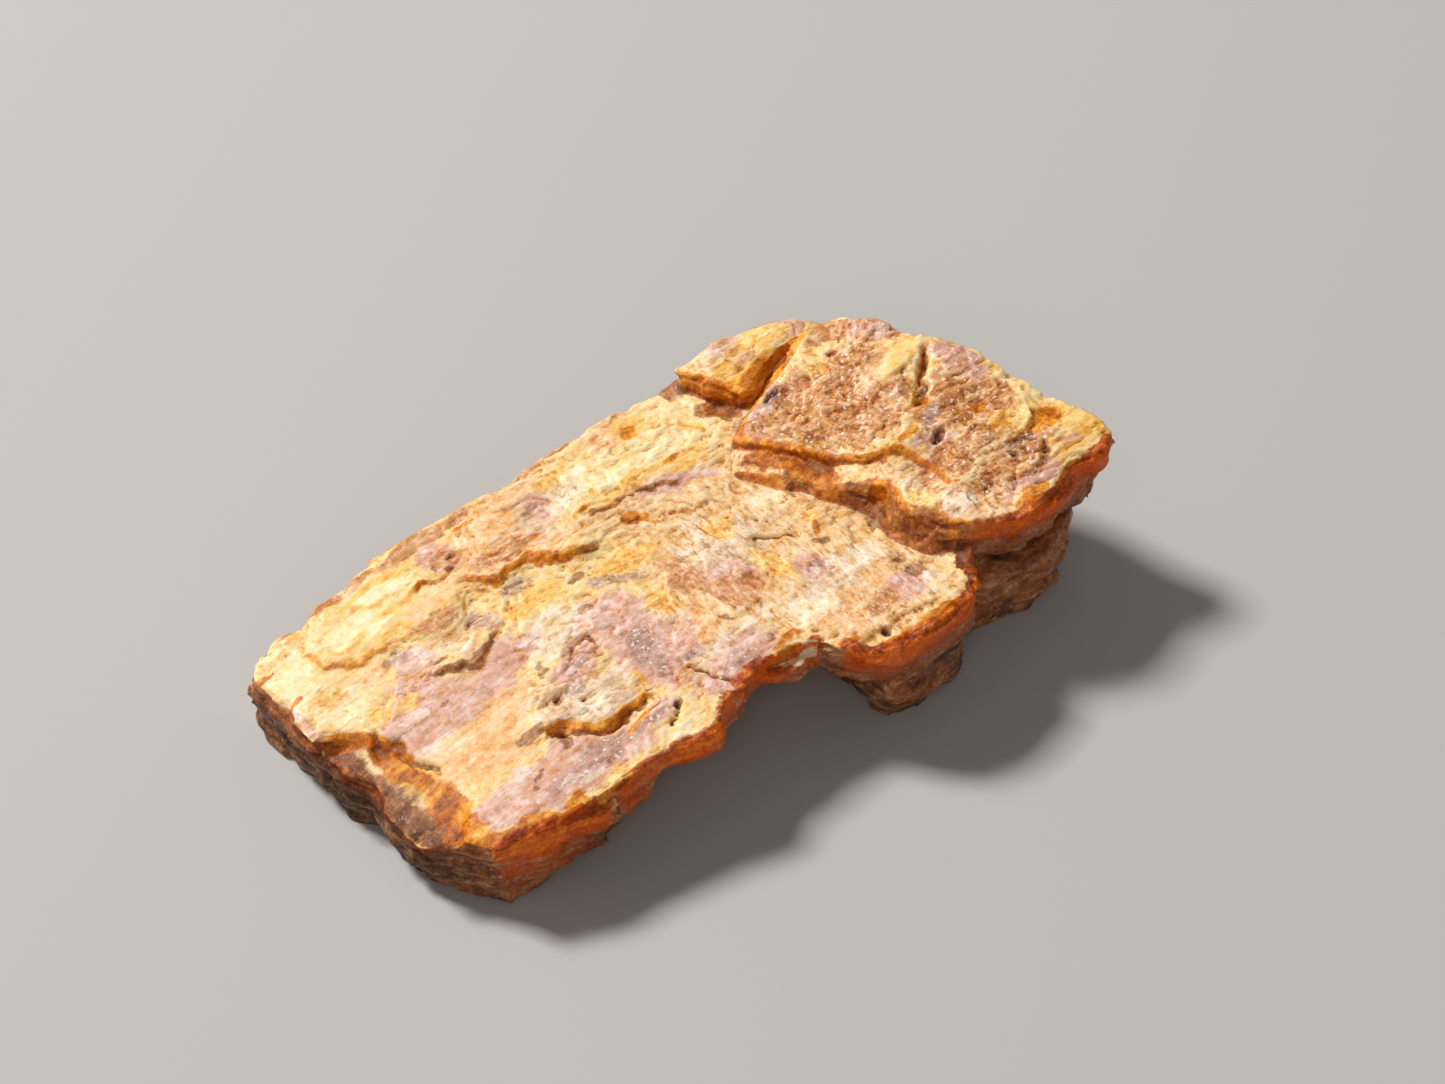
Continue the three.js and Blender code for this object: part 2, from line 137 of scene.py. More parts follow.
# the crystal, in millimetres; an oval is (x, y, half length, half width) with a turn in degrees where
# it isn't 0, and a stroke is (half width, places)
crystal = {
    "voxel": 0.075,  # mesh spacing before thinning
    "smoothing": 3,  # steps that even out the voxels
    "rimWear": 7,  # smoothing steps of the outer rims and the end block
    "faceWear": 44,  # smoothing steps of the blade's face
    "triangles": 195000,
    "bladeEnd": 3.8,  # x where the end block starts
    "shelfEnd": -9.8,  # x where the broken shelf of the left end starts
    "ledge": (6, 4),  # x past which, and height under which, a level face is a ledge of the wall
    "sheets": [  # (height, length, width, wander, seed): levels of broken thin sheets on the tops
        (0.085, 3.2, 1.0, 1.4, 11),
        (0.04, 1.3, 0.45, 1.2, 23),
    ],
    "splinters": 0.013,  # height of the fine ridges
    "facets": [(0.3, 0.022, 141), (0.62, 0.05, 151)],  # (width, height, seed) of tilted cleavage facets
    "grain": 0.01,  # height of the fine roughness
    "waves": 0.04,  # height of the broad swells
    "rimChips": 0.16,  # depth of the chips in the outer rims
    "riserChips": 0.3,  # how far the risers of inner steps are broken back
    "wallSheets": 0.12,  # how far sheet edges stand out in the walls
    "stepReach": 1.2,  # how far a named flake stays proud behind its edge
    "edges": {  # name: (height, places); the flake is proud on the left of the line
        "hook": (0.1, [
            (-10.2, 5.7), (-10.7, 5.2), (-10.6, 4.6), (-10.45, 4.1), (-10, 3.95), (-9.4, 3.75),
            (-8.9, 3.55), (-8.2, 3.35), (-7.6, 3.3),
        ]),
        "innerHook": (0.07, [
            (-8.6, 6), (-8.5, 5.5), (-8.2, 5.25), (-7.5, 5.2), (-6.8, 5.05), (-6.1, 5.1),
        ]),
        "brokenLine": (0.12, [
            (-7.1, 4.45), (-6.6, 4.65), (-6.2, 4.3), (-5.8, 4.4), (-5.5, 4.6), (-5.1, 4.5),
        ]),
        "whiteRidge": (0.11, [
            (-8.9, 1.8), (-8.4, 1.6), (-7.9, 1.6), (-7.3, 1.35), (-6.9, 1.3), (-6.4, 1.55), (-6, 1.75),
            (-5.6, 1.7),
        ]),
        "goldLedge": (0.15, [
            (-5.5, 4), (-5.2, 3.6), (-4.8, 3.1), (-4.2, 3.15), (-3.5, 3.25), (-3.2, 2.8), (-2.9, 2.5),
            (-2.2, 2.25), (-1.6, 2.3),
        ]),
        "centreLedge": (0.1, [(-0.8, 2.7), (-0.2, 2.45), (0.2, 2), (0.5, 1.65), (1.4, 1.45), (2.3, 1.25)]),
        "backLedge": (0.09, [(-1.4, 3.3), (-0.8, 3.4), (0, 3.2), (0.6, 2.9), (1.1, 2.6), (2.2, 2.3)]),
        "pinkFlake": (0.06, [(-1.2, -1.7), (-0.95, -2.3), (-0.6, -2.7), (0, -2.85), (0.6, -2.7)]),
        "paleSquare": (0.06, [
            (0.9, 0.2), (0.9, -0.4), (1.2, -0.7), (1.8, -0.85), (2.3, -1.05), (2.7, -1.05),
        ]),
        "rimStreak": (0.06, [(-1.6, 3.75), (-1.1, 3.55), (-0.6, 3.7), (0, 3.75)]),
        "backGroove": (0.13, [(3.75, 3.1), (3.75, 3.7), (3.6, 4.2), (3.2, 4.5), (2.6, 4.9)]),
        "noseStreak": (0.09, [(0.9, -5.6), (1.3, -6), (2, -6.25), (3, -6.35), (4.6, -6.5)]),
        "tipRidge": (0.12, [(8.3, -4.9), (9.3, -5.1), (10.3, -4.95), (11.6, -5.1)]),
        "amberRidge": (0.14, [(9.4, -3.9), (10.2, -3.75), (11, -3.6), (11.7, -3.5)]),
        "blockFold": (0.12, [(5.2, 2.1), (5.6, 2.5), (6.2, 2.7), (6.7, 3.1)]),
        "yellowFlake": (0.1, [(8.6, 0.7), (9.4, 0.5), (10.3, 0.8)]),
    },
    "cracks": {  # name: (width, depth, places)
        "bowCrack": (0.07, 0.12, [(-5.15, -0.5), (-4.8, -0.25), (-4.3, -0.2), (-4, -0.35), (-3.8, -0.9)]),
        "forkCrack": (0.08, 0.12, [(-3.1, -3.3), (-2.75, -3.6), (-2.55, -4), (-2.4, -4.5), (-2.2, -4.9)]),
        "shortCrack": (0.08, 0.12, [(-4.95, -4.65), (-4.5, -4.3), (-4.1, -4.05), (-3.85, -3.9)]),
        "lumpFoot": (0.1, 0.08, [
            (-7.9, -2.05), (-7.2, -2.5), (-6.8, -3.1), (-6.1, -3.5), (-5.3, -3.3), (-4.4, -3.25),
        ]),
        "lumpFill": (0.35, -0.15, [
            (-7.9, -2.2), (-7.1, -2.8), (-6.6, -3.5), (-5.9, -3.8), (-5.2, -3.5), (-4.2, -3.4),
        ]),
        "ridgeCrack": (0.17, 0.26, [(8.5, -1), (9.1, -0.5), (9.6, -0.05), (10.1, 0.3), (10.4, 0.6)]),
        "darkNotch": (0.13, 0.2, [(7.9, -2.7), (8.2, -2.35), (8.5, -2.1)]),
        "tailCrack": (0.06, 0.08, [(1.85, -0.85), (2.3, -1.1), (2.6, -1.5), (2.8, -1.9)]),
        "backScar": (0.08, 0.08, [(2.2, 3.35), (2.5, 3.45), (2.8, 3.4)]),
        "mauveScar": (0.06, 0.08, [(-5.4, 5.1), (-5, 5), (-4.8, 5.2)]),
        "endGroove": (0.16, 0.16, [(-11.2, 1.5), (-10.9, 0.7), (-10.65, -0.2), (-10.55, -1.2)]),
    },
    "pits": [  # (x, y, radius, depth)
        (2.05, -6.35, 0.22, 0.2), (0.75, -4.85, 0.14, 0.12), (9.35, -4.35, 0.2, 0.2),
        (10.1, -4.85, 0.25, 0.2), (8.3, 2.6, 0.2, 0.16), (5.2, -3.7, 0.3, 0.16), (4.4, -4.3, 0.4, 0.12),
        (-4.05, -4, 0.2, 0.12), (-6.5, -1.65, 0.2, 0.12), (-6, -2.1, 0.14, 0.12), (-7.2, -2.6, 0.25, 0.14),
    ],
    "fields": {  # kinds of surface, as ovals
        "crossGrain": [(1.2, -1.4, 3, 3.4), (3.2, -4.8, 2.4, 2)],
        "lumpy": [(-5.9, -2, 1.7, 1.3, -15), (-5, -0.9, 0.9, 0.6), (-4.7, -4.4, 0.8, 0.6)],
        "sugary": [
            (6.9, 1, 2.7, 2.5, -25), (9.4, -1.3, 2.2, 2, -40), (8.6, -4, 3, 1.6), (9.5, 1.8, 1.2, 1.4),
        ],
        "worn": [
            (-11.6, -0.7, 0.9, 2.6), (-8.9, 4.7, 3.4, 1.4), (-8.6, 0.6, 2.4, 1, 3), (-9, -1.3, 2, 1.5),
            (-8.6, -3.7, 2.8, 1, -3), (-8.2, 2.6, 1.4, 0.6), (9.3, 0.9, 1.1, 0.5, 5),
        ],
    },
    "patches": {  # soft ovals of each colour, and of each kind of wall and rim
        "straw": [
            (1.2, -1, 3.6, 3.6), (3.2, -5, 2.6, 2), (1.4, 2.5, 3, 0.7, -14), (8, -4, 3.4, 1.6),
            (-1.5, 3.2, 1.4, 0.4), (-7, 2.4, 1.2, 0.5), (7, 5, 2.6, 0.9, 5), (-6, -2, 1.7, 1.3),
            (6.6, -2.6, 1.2, 1.6),
        ],
        "peach": [
            (-3.9, 4.6, 2.3, 1.4), (-9, -1.2, 1.7, 1.2, -5), (-8, -0.2, 1, 0.5), (-2.3, 3, 0.9, 0.5),
            (-1.9, -2, 0.8, 1), (1.4, -5.3, 1, 0.8), (3.2, -4.4, 1.2, 0.8), (1.8, 5.6, 1.2, 0.6),
            (7.3, -5.3, 0.9, 0.6), (-7.7, 3.9, 1.4, 0.3), (-2.6, 5.7, 1.6, 0.5), (-9.6, 3, 0.6, 0.3),
            (-6.9, -0.6, 0.6, 0.4),
        ],
        "lilac": [
            (-8.4, 0.5, 2.4, 0.8, 4), (-6.7, 1, 1.2, 0.8, 15), (-9, 1.7, 1, 0.6, -10),
            (-10.3, 1.1, 0.6, 0.6), (-8.3, -3.7, 3, 1, -3), (-6.6, -4.1, 1.6, 0.7, 5),
            (-5, -0.8, 1, 0.6, 10), (-3.2, 0, 1, 0.9), (-3.2, -2.1, 1.2, 1.5), (-1.7, -4.2, 1.5, 0.8, 10),
            (-4.6, -3.9, 0.6, 0.4), (-5.4, 5.4, 0.7, 0.8, 10), (-1.8, 4.9, 0.35, 0.7),
            (1.6, 2.5, 1.5, 0.3, -14), (2.3, -2.9, 0.5, 0.5), (9.2, -5.4, 1.4, 0.35),
            (4.1, -5.5, 0.8, 0.5), (10.9, -0.4, 0.6, 1, 20), (10, 2.5, 0.6, 0.9, 20),
            (7.7, -2.5, 0.8, 0.5, 30), (10.4, -4.4, 0.4, 0.25, -30), (-12.1, 3, 0.2, 0.8),
            (5.5, 2.6, 1, 0.4, 15), (-8.6, 2.5, 0.7, 0.4), (0.4, -1.7, 0.9, 0.7), (8.5, 4.9, 0.8, 0.4),
            (6.3, 5.3, 0.6, 0.3), (4.7, 2.4, 0.5, 0.6), (11.1, -5.2, 0.5, 0.3),
        ],
        "salmon": [
            (-0.5, -0.5, 0.5, 0.9), (0.4, -2.1, 0.9, 0.8), (6.9, 1.1, 2.2, 1.8, -20),
            (7.6, -0.2, 1.6, 1, 10), (8.7, 1.9, 0.9, 1), (9.6, -1.7, 2, 1.2, -30), (8.2, -3.2, 1.8, 0.5),
            (9.2, -4.5, 1.6, 0.35), (-3.7, 4, 1.2, 0.4, -5), (-9, 6.3, 2.2, 0.2, 2), (-5.2, 6.3, 2, 0.35),
            (-7.2, 3.4, 0.8, 0.3), (9, 3.4, 0.9, 0.5, -30), (-5.2, 5, 0.6, 0.3), (6.4, 4.4, 0.5, 0.3),
            (-0.7, 6.15, 1.2, 0.15), (2.8, -5.5, 0.9, 0.4), (11, -2.2, 0.5, 0.5), (-3.1, -3.4, 0.4, 0.3),
            (5.5, 4.5, 0.5, 0.6),
        ],
        "mica": [
            (-6, 2.3, 0.45, 0.55), (-4.5, 2.7, 0.5, 0.3, -10), (-8.9, 2.95, 0.5, 0.25, -10),
            (-2.4, 1, 0.5, 0.25, -30), (-1.8, 0.6, 0.5, 0.2, -30), (5.8, 2.75, 0.7, 0.3, 15),
            (4.8, 3, 0.5, 0.15, 15), (-3.3, -1.2, 0.4, 0.3), (8.4, -1.6, 0.8, 0.25, 45),
            (9.9, -4, 1, 0.15), (2.5, -3, 0.3, 0.2), (-2.6, -3, 0.4, 0.2), (-6.8, -4.05, 2.2, 0.4, 3),
            (-3.4, -2, 0.5, 0.8), (-5.9, -1.6, 0.5, 0.3), (-5.1, -0.8, 0.6, 0.3),
            (-1.9, -4.3, 0.8, 0.4, 10),
        ],
        # pale whitish stone, and painted highlights where glints fall or a flake is brightened against its
        # shade
        "frost": [
            (-11.6, 4.6, 0.6, 1), (-11.2, 6.1, 0.6, 0.25), (-9.4, 5.1, 1.2, 0.25), (-9, 4.7, 1, 0.3),
            (-7.3, 5.4, 0.9, 0.28), (-8.5, 4.3, 0.4, 0.2), (-11.9, 3.4, 0.35, 0.3),
            (-10.3, 2.8, 0.4, 0.25), (-9.8, 0.9, 0.4, 0.18), (-9.6, -0.5, 0.5, 0.35),
            (-5.45, 5.75, 0.2, 0.2), (-4.5, 5.3, 0.35, 0.25), (-4.6, 0.8, 1.1, 0.6), (-3.9, 0.4, 0.5, 0.4),
            (-1.5, 4.3, 0.35, 0.4), (-0.5, 4.7, 0.6, 0.5), (0.6, 4.2, 0.9, 0.4), (2, 4.1, 0.8, 0.35),
            (0.5, 0.4, 0.5, 0.4), (-1.5, -0.25, 0.14, 0.25), (-0.7, -3.3, 1, 0.3), (-4.6, -5, 0.6, 0.3),
            (1.4, -4.2, 0.8, 0.5), (-8.8, -2.8, 0.5, 0.2), (-7.5, -4.2, 0.7, 0.3), (6.9, -4.8, 0.5, 0.3),
            (8.2, -0.3, 0.4, 0.6, -20), (6.1, -3.5, 0.5, 0.6), (9.5, -2.8, 0.3, 0.2, 30),
            (11.5, -2, 0.2, 0.3), (4.6, -5.9, 0.5, 0.3), (5.5, 5.1, 0.5, 0.3), (8.9, 2.5, 0.5, 0.4),
            (3.2, 0.2, 0.7, 0.5), (3.5, -3.6, 0.9, 0.5), (-6.1, -2.5, 0.6, 0.3), (-11.6, 0.85, 0.16, 0.22),
            (-11.5, 0.2, 0.2, 0.3), (-11.5, -1.5, 0.3, 0.2), (-5.4, 0.2, 0.7, 0.4, 20),
            (7.2, 5.1, 0.6, 0.3), (-11, 2.6, 0.8, 0.5), (-11.4, 5.2, 0.7, 0.5), (9.3, 0.85, 1.1, 0.45, 5),
            (9.3, 0.9, 0.9, 0.4, 5), (10.9, -3.3, 0.8, 0.25),
        ],
        "gold": [
            (-9.5, 1.5, 0.35, 0.35), (-10.4, 1.8, 0.3, 0.35), (-9.5, 4.45, 0.7, 0.16),
            (-5, 1.9, 0.35, 0.5), (-4.2, 2, 0.7, 0.4), (-1.7, -0.6, 0.3, 0.6), (1.65, -2, 0.35, 1),
            (9.5, 0.85, 1, 0.4, 5), (12, -5.2, 0.5, 0.6), (10.6, -3.3, 1.2, 0.3), (11.7, -4, 0.5, 0.6),
            (10.8, -5.4, 0.6, 0.2), (-1.2, 3.6, 0.5, 0.14), (-0.8, 5.4, 0.6, 0.2), (0.8, 3.2, 0.2, 0.3),
            (3.6, -1.3, 0.25, 0.2), (-11.1, -0.6, 0.5, 0.6), (-11.2, -2.4, 0.3, 0.3), (7.7, 2.6, 0.3, 0.3),
            (-1.3, 1.2, 1, 0.5, -10), (6.6, -1.8, 0.5, 0.3, -30), (2.2, 5.3, 0.6, 0.5),
            (1.4, 0.2, 0.5, 0.5), (-7.4, 5.8, 1.4, 0.15), (7.4, -2.5, 0.3, 0.2), (6.2, -3.7, 0.4, 0.5),
            (7.4, 5, 1, 0.6, 5), (5.4, 4.5, 0.5, 0.4), (-8.6, 3.8, 1.2, 0.2), (-7.6, 4.6, 1, 0.2),
            (0.4, 3.5, 1.2, 0.3), (2.6, 3, 0.8, 0.3),
        ],
        "orange": [
            (11.1, -3.9, 0.7, 0.3, 10), (7.4, -1.7, 0.5, 0.2, 20), (9.9, -2.1, 0.3, 0.25),
            (2.45, 3.4, 0.4, 0.15), (-4, 5.75, 0.35, 0.12), (-11.9, 3.75, 0.4, 0.12),
            (-11.9, 5.45, 0.35, 0.12), (3.5, -1.7, 0.15, 0.25), (8.8, -0.8, 0.4, 0.25, 45),
            (2.1, 5.2, 0.3, 0.3), (-11.1, -2.1, 0.6, 0.8), (-11.15, -0.2, 0.4, 0.9),
            (-11.3, -3.2, 0.5, 0.7),
        ],
        "brown": [
            (-5.5, 4.55, 0.2, 0.12), (-5.05, 5.05, 0.2, 0.12), (-7.8, -2, 0.35, 0.2),
            (-7.3, -2.8, 0.35, 0.2, -40), (2.1, -6.35, 0.25, 0.16), (9.35, -4.35, 0.22, 0.18),
            (10, -4.9, 0.35, 0.14, 20), (8.35, 2.55, 0.14, 0.2, 30), (3.3, -2.3, 0.25, 0.15),
            (-0.4, -4, 0.2, 0.1), (-3, 1.75, 0.35, 0.16), (-3.4, 0.6, 0.3, 0.15), (4.4, -4.4, 0.4, 0.3),
            (8.3, -2.3, 0.35, 0.15, 40), (5.6, 2.8, 0.4, 0.12, 10), (-4.05, -4, 0.25, 0.12),
            (4.5, -5.2, 0.5, 0.25),
        ],
        # painted glow: where the glow on the wall reaches furthest down, at the front corner
        "ember": [(-10.4, -4.9, 2, 0.9, -8)],
        # painted shade: the left end wall, which faces away from the lamp, darker, with a rust rim
        "soot": [(-12.6, -0.4, 1.8, 5)],
        # painted highlight on the ledge under the notch
        "lip": [(0, -5.15, 0.5, 0.12, -6)],
        "chalk": [
            (-5.8, -2, 1.7, 1.2, -15), (-4.6, 0.6, 1.6, 0.7, 5), (-3, -1.2, 1.5, 1.2),
            (0.8, -0.4, 1.6, 1.2), (-1.6, -3.6, 1.4, 0.6, 10), (-8.4, -4.2, 2.4, 0.4, -3),
            (2.6, -3.6, 1.4, 0.8), (-9.4, 0.8, 1, 0.4), (-1.8, 4.6, 1.2, 0.8), (8.3, -0.3, 0.5, 0.6, -20),
            (6.6, -4.6, 0.8, 0.5), (4.8, 2.6, 0.6, 0.4),
        ],
        "rust": [(-11.5, -2.6, 0.4, 0.5)],
        # painted glow: the rim and wall of the left end shelf
        "glow": [(-11.4, -0.6, 0.4, 1.4)],
    },
    "strokes": {  # soft strokes of the same
        # pale whitish stone, and painted highlights
        "frost": [
            (0.2, [(-8.5, 2.75), (-7.8, 2.45), (-7.1, 2.1), (-6.5, 1.9)]), (0.12, [(0, 0.4), (0, -0.9)]),
            (0.12, [(0.4, 0.3), (0.4, -0.9)]), (0.08, [(4.4, 2.6), (5.2, 2.6), (5.8, 2.3)]),
            (0.1, [(-6.9, -1.3), (-6.5, -0.9), (-5.8, -1)]),
            (0.1, [(-6.4, -2.6), (-5.8, -2.9), (-5, -2.6)]),
        ],
        "gold": [
            (0.12, [
                (-10.4, 5.6), (-10.7, 5.1), (-10.6, 4.5), (-10.4, 4.05), (-9.9, 4), (-9.4, 3.75),
                (-8.4, 3.6),
            ]),
            (0.1, [(-8.4, 5.9), (-8.5, 5.4), (-8.1, 5.2), (-7.4, 5.2), (-7, 5)]),
            (0.1, [(-8.4, 4), (-7.4, 3.8)]), (0.16, [(2.8, 4.8), (3.3, 4.5), (3.7, 4), (3.8, 3.3)]),
            (0.25, [(5.1, 4.2), (5.6, 3.95), (6.6, 4.05), (7.6, 4.2)]),
            (0.14, [(-4.2, -2), (-4.1, -2.8), (-3.9, -3.2)]),
            (0.14, [(-7.7, -5.1), (-6.9, -5.2), (-6, -5.1)]),
            (0.12, [(-7.7, -2.1), (-6.9, -2.9), (-6.2, -3.4), (-5.2, -3.2), (-4.2, -3.2)]),
        ],
        "orange": [
            (0.3, [(-11.3, -3.4), (-11.1, -4.3), (-10.3, -4.6), (-9.5, -4.85), (-8.6, -4.95), (-7.8, -5)]),
            (0.2, [(-11.5, 1.6), (-11.15, 1), (-10.9, 0.3), (-10.6, -0.5)]),
            (0.12, [(-11.5, -1.9), (-11, -1.7), (-10.7, -1.9)]),
            (0.14, [
                (-5.5, 4.1), (-5.2, 3.7), (-4.8, 3.2), (-4.2, 3.25), (-3.5, 3.35), (-3.1, 2.8),
                (-2.8, 2.5), (-2.2, 2.4),
            ]),
            (0.1, [(-0.7, 2.75), (-0.2, 2.5), (0.3, 1.95), (0.5, 1.7)]), (0.1, [(-1.5, 3.6), (-0.7, 3.6)]),
            (0.35, [(4.5, 4.9), (4.8, 4.1), (5.2, 3.65), (6, 3.7), (7.2, 3.95)]),
            (0.42, [(3.8, 1.9), (4.3, 1), (4.7, 0), (5.2, -0.8), (5.6, -1)]),
            (0.25, [(5.1, -1.5), (5.7, -2.6), (5.8, -3)]), (0.22, [(5.4, -3.3), (5.6, -4.3), (6, -5.1)]),
            (0.2, [(6.1, -1.6), (6.7, -1.9)]), (0.08, [(1, -5.8), (1.6, -6.1)]),
            (0.16, [(1, -6.5), (2, -6.85), (3.4, -7), (4.8, -6.9)]),
            (0.1, [(-7, 4.4), (-6.6, 4.65), (-6.2, 4.35)]),
            (0.1, [(-3.2, 3.9), (-2.7, 3.85), (-2.5, 3.65)]), (0.14, [(9.1, -0.5), (9.7, 0), (10.4, 0.6)]),
            (0.2, [(7.8, -6.1), (8.6, -5.95), (9.6, -5.8)]),
            (0.16, [(-1.2, -4.6), (-0.3, -4.5), (0.2, -4.4), (0.4, -5)]),
        ],
        # brown lines and cracks, and painted shadow at the feet of the block's step, under the white ridge
        # and down the left end
        "brown": [
            (0.12, [(-8.8, 1.85), (-8.3, 1.6), (-7.9, 1.6), (-7.3, 1.35), (-6.6, 1.5), (-5.7, 1.8)]),
            (0.1, [(-8.5, 2.25), (-7.9, 2.1), (-7.5, 1.9)]),
            (0.06, [(-9.5, 0.65), (-9, 0.75), (-8.3, 0.85)]),
            (0.3, [(-12.1, 1.4), (-12.1, 0), (-12.05, -1), (-11.9, -2), (-11.6, -3)]),
            (0.07, [(-9.4, -3.7), (-8.6, -3.4), (-8, -3.1)]), (0.1, [(-7.4, -2.8), (-7.1, -3.4)]),
            (0.14, [(4, 0.5), (4.25, -0.3), (4.6, -1)]),
            (0.28, [(4.9, -1.2), (5.2, -2.2), (5.3, -3.2), (5.5, -4.6), (5.8, -5.4)]),
            (0.06, [(-1.5, 3.3), (-0.8, 3.35), (0, 3.1), (0.6, 2.8), (1.2, 2.6), (2.2, 2.35)]),
            (0.08, [(-5.9, 5), (-5.75, 4.7)]), (0.08, [(-1.1, -2), (-0.8, -2.6), (-0.4, -2.8)]),
            (0.2, [(4.35, 4.9), (4.4, 4.3), (4.7, 3.5), (5.2, 3.3)]),
            (0.1, [(9.2, -3.95), (10, -3.9), (10.8, -3.95)]),
            (0.06, [(-6.4, -0.45), (-5.8, -0.25), (-5.3, 0.1)]), (0.05, [(3.5, 2), (3.9, 0.9)]),
        ],
        "rust": [
            (0.25, [(-11.4, 1.5), (-11.1, 0.9), (-10.8, 0.1)]),
            (0.5, [
                (-12.5, 2.3), (-12.2, 1.4), (-12.1, 0.4), (-12.1, -0.8), (-12.2, -1.8), (-12, -2.6),
                (-11.6, -3.3),
            ]),
        ],
        # painted glow: the front rims and the walls under them, where light shows through the thin stone
        "glow": [
            (0.8, [(-11.3, -4.2), (-10.6, -5), (-9.6, -5.1), (-8.6, -5.3), (-7.6, -5.5)]),
            (0.5, [(-7.6, -5.5), (-6.4, -5.6), (-5, -5.6), (-3.6, -5.8), (-2.4, -5.3)]),
            (0.6, [(-2.6, -5.3), (-1.6, -4.9), (-0.8, -4.7), (0.2, -4.8), (0.6, -5.6)]),
            (0.6, [(0.6, -5.6), (1, -6.5), (2.2, -7), (3.6, -7.1), (5, -7), (5.8, -6.4), (6.6, -6)]),
            (0.6, [
                (5.8, -6.2), (6.6, -6.1), (7.6, -6.4), (8.8, -6.4), (10, -6.1), (11.4, -6), (12.4, -5.7),
            ]),
        ],
    },
    "shades": {  # colours from the darkest to the palest
        "butter": [(214, 135, 52), (240, 188, 106), (250, 218, 155), (253, 232, 183), (255, 241, 207)],
        "straw": [(142, 81, 32), (203, 146, 82), (234, 194, 141), (248, 219, 176), (255, 239, 209)],
        "peach": [(186, 106, 48), (228, 162, 98), (244, 194, 142), (251, 218, 176), (255, 240, 214)],
        "lilac": [(140, 82, 64), (190, 134, 114), (220, 171, 156), (237, 203, 190), (252, 236, 228)],
        "salmon": [(104, 42, 12), (160, 86, 38), (200, 136, 86), (230, 180, 134), (255, 230, 200)],
        "mica": [(104, 76, 68), (152, 120, 110), (188, 158, 146), (220, 198, 186), (250, 240, 230)],
        "gold": [(176, 92, 6), (221, 145, 34), (245, 188, 84), (252, 213, 124), (255, 232, 168)],
        "amber": [(74, 24, 0), (136, 60, 0), (190, 100, 0), (228, 146, 14), (250, 202, 90)],
        "flame": [(70, 16, 0), (128, 40, 0), (182, 74, 0), (220, 118, 14), (248, 186, 90)],
        "brown": [(60, 28, 14), (112, 62, 30), (156, 98, 54), (194, 142, 90), (228, 188, 138)],
        "chalk": [(124, 84, 58), (182, 142, 112), (222, 192, 162), (240, 220, 196), (254, 242, 226)],
        "rust": [(40, 10, 0), (88, 28, 2), (136, 56, 8), (184, 96, 22), (226, 156, 76)],
        "wall": [(50, 31, 18), (90, 61, 40), (128, 96, 68), (168, 135, 102), (214, 190, 162)],
        "glow": [(40, 12, 4), (98, 28, 2), (160, 56, 0), (206, 92, 4), (232, 140, 34)],
        # painted highlight and painted glow: the white of the glints, the orange that rims, steps and
        # walls emit, and the warm colour the stone emits into its shade
        "glint": (255, 252, 244),
        "ember": (255, 104, 8),
        "warmth": (140, 88, 44),  # what the stone lets through into its own shade
    },
    "bumpDepth": 0.05,
    "bumpStrength": 0.8,
    "stone": {
        "Emission Strength": 0.12,
        "Subsurface Weight": 0.15,
        "Subsurface Radius": (1, 0.35, 0.1),
        "Subsurface Scale": 0.5 * mm,
        "IOR": 1.6,
        "Specular IOR Level": 0.2,
    },
}


def smoothStep(low, high, value):
    part = np.clip((value - low) / (high - low), 0, 1)
    return part * part * (3 - 2 * part)


def cellValue(cell, seed):
    mixed = cell[:, 0] * 374761393 + cell[:, 1] * 668265263 + cell[:, 2] * 1440662683 + seed * 974634777
    mixed = (mixed ^ (mixed >> 13)) * 1274126177
    return ((mixed ^ (mixed >> 16)) & 0xFFFF) / 32767.5 - 1


# smooth noise from -1 to 1; grain is the size of its bumps along x, y and z
def softNoise(points, grain, seed):
    scaled = points / np.array(grain) + 31.7 * seed
    cell = np.floor(scaled).astype(np.int64)
    part = scaled - cell
    fade = part * part * (3 - 2 * part)
    total = np.zeros(len(points))
    for corner in range(8):
        offset = np.array([corner & 1, corner >> 1 & 1, corner >> 2])
        weight = np.prod(np.where(offset == 1, fade, 1 - fade), axis=1)
        total += weight * cellValue(cell + offset, seed)
    return total


def roughNoise(points, grain, seed, octaves=3):
    grain = np.array(grain, float)
    total = np.zeros(len(points))
    for octave in range(octaves):
        total += softNoise(points, grain / 2**octave, seed + octave) / 2**octave
    return total / 1.6


# plan cells around scattered centres: distance to the nearest centre, and a random slope for each cell
def scatterCells(points, size, seed):
    scaled = points[:, :2] / size
    home = np.floor(scaled).astype(np.int64)
    best = np.full(len(points), 1e9)
    slope = np.zeros(len(points))
    for dx in (-1, 0, 1):
        for dy in (-1, 0, 1):
            cell = np.column_stack([home + [dx, dy], np.zeros(len(points), np.int64)])
            shift = np.column_stack([cellValue(cell, seed), cellValue(cell, seed + 1)])
            gap = scaled - cell[:, :2] - 0.5 - 0.45 * shift
            distance = np.hypot(gap[:, 0], gap[:, 1])
            tilt = cellValue(cell, seed + 2) * gap[:, 0] + cellValue(cell, seed + 3) * gap[:, 1]
            slope = np.where(distance < best, tilt, slope)
            best = np.minimum(best, distance)
    return best, slope


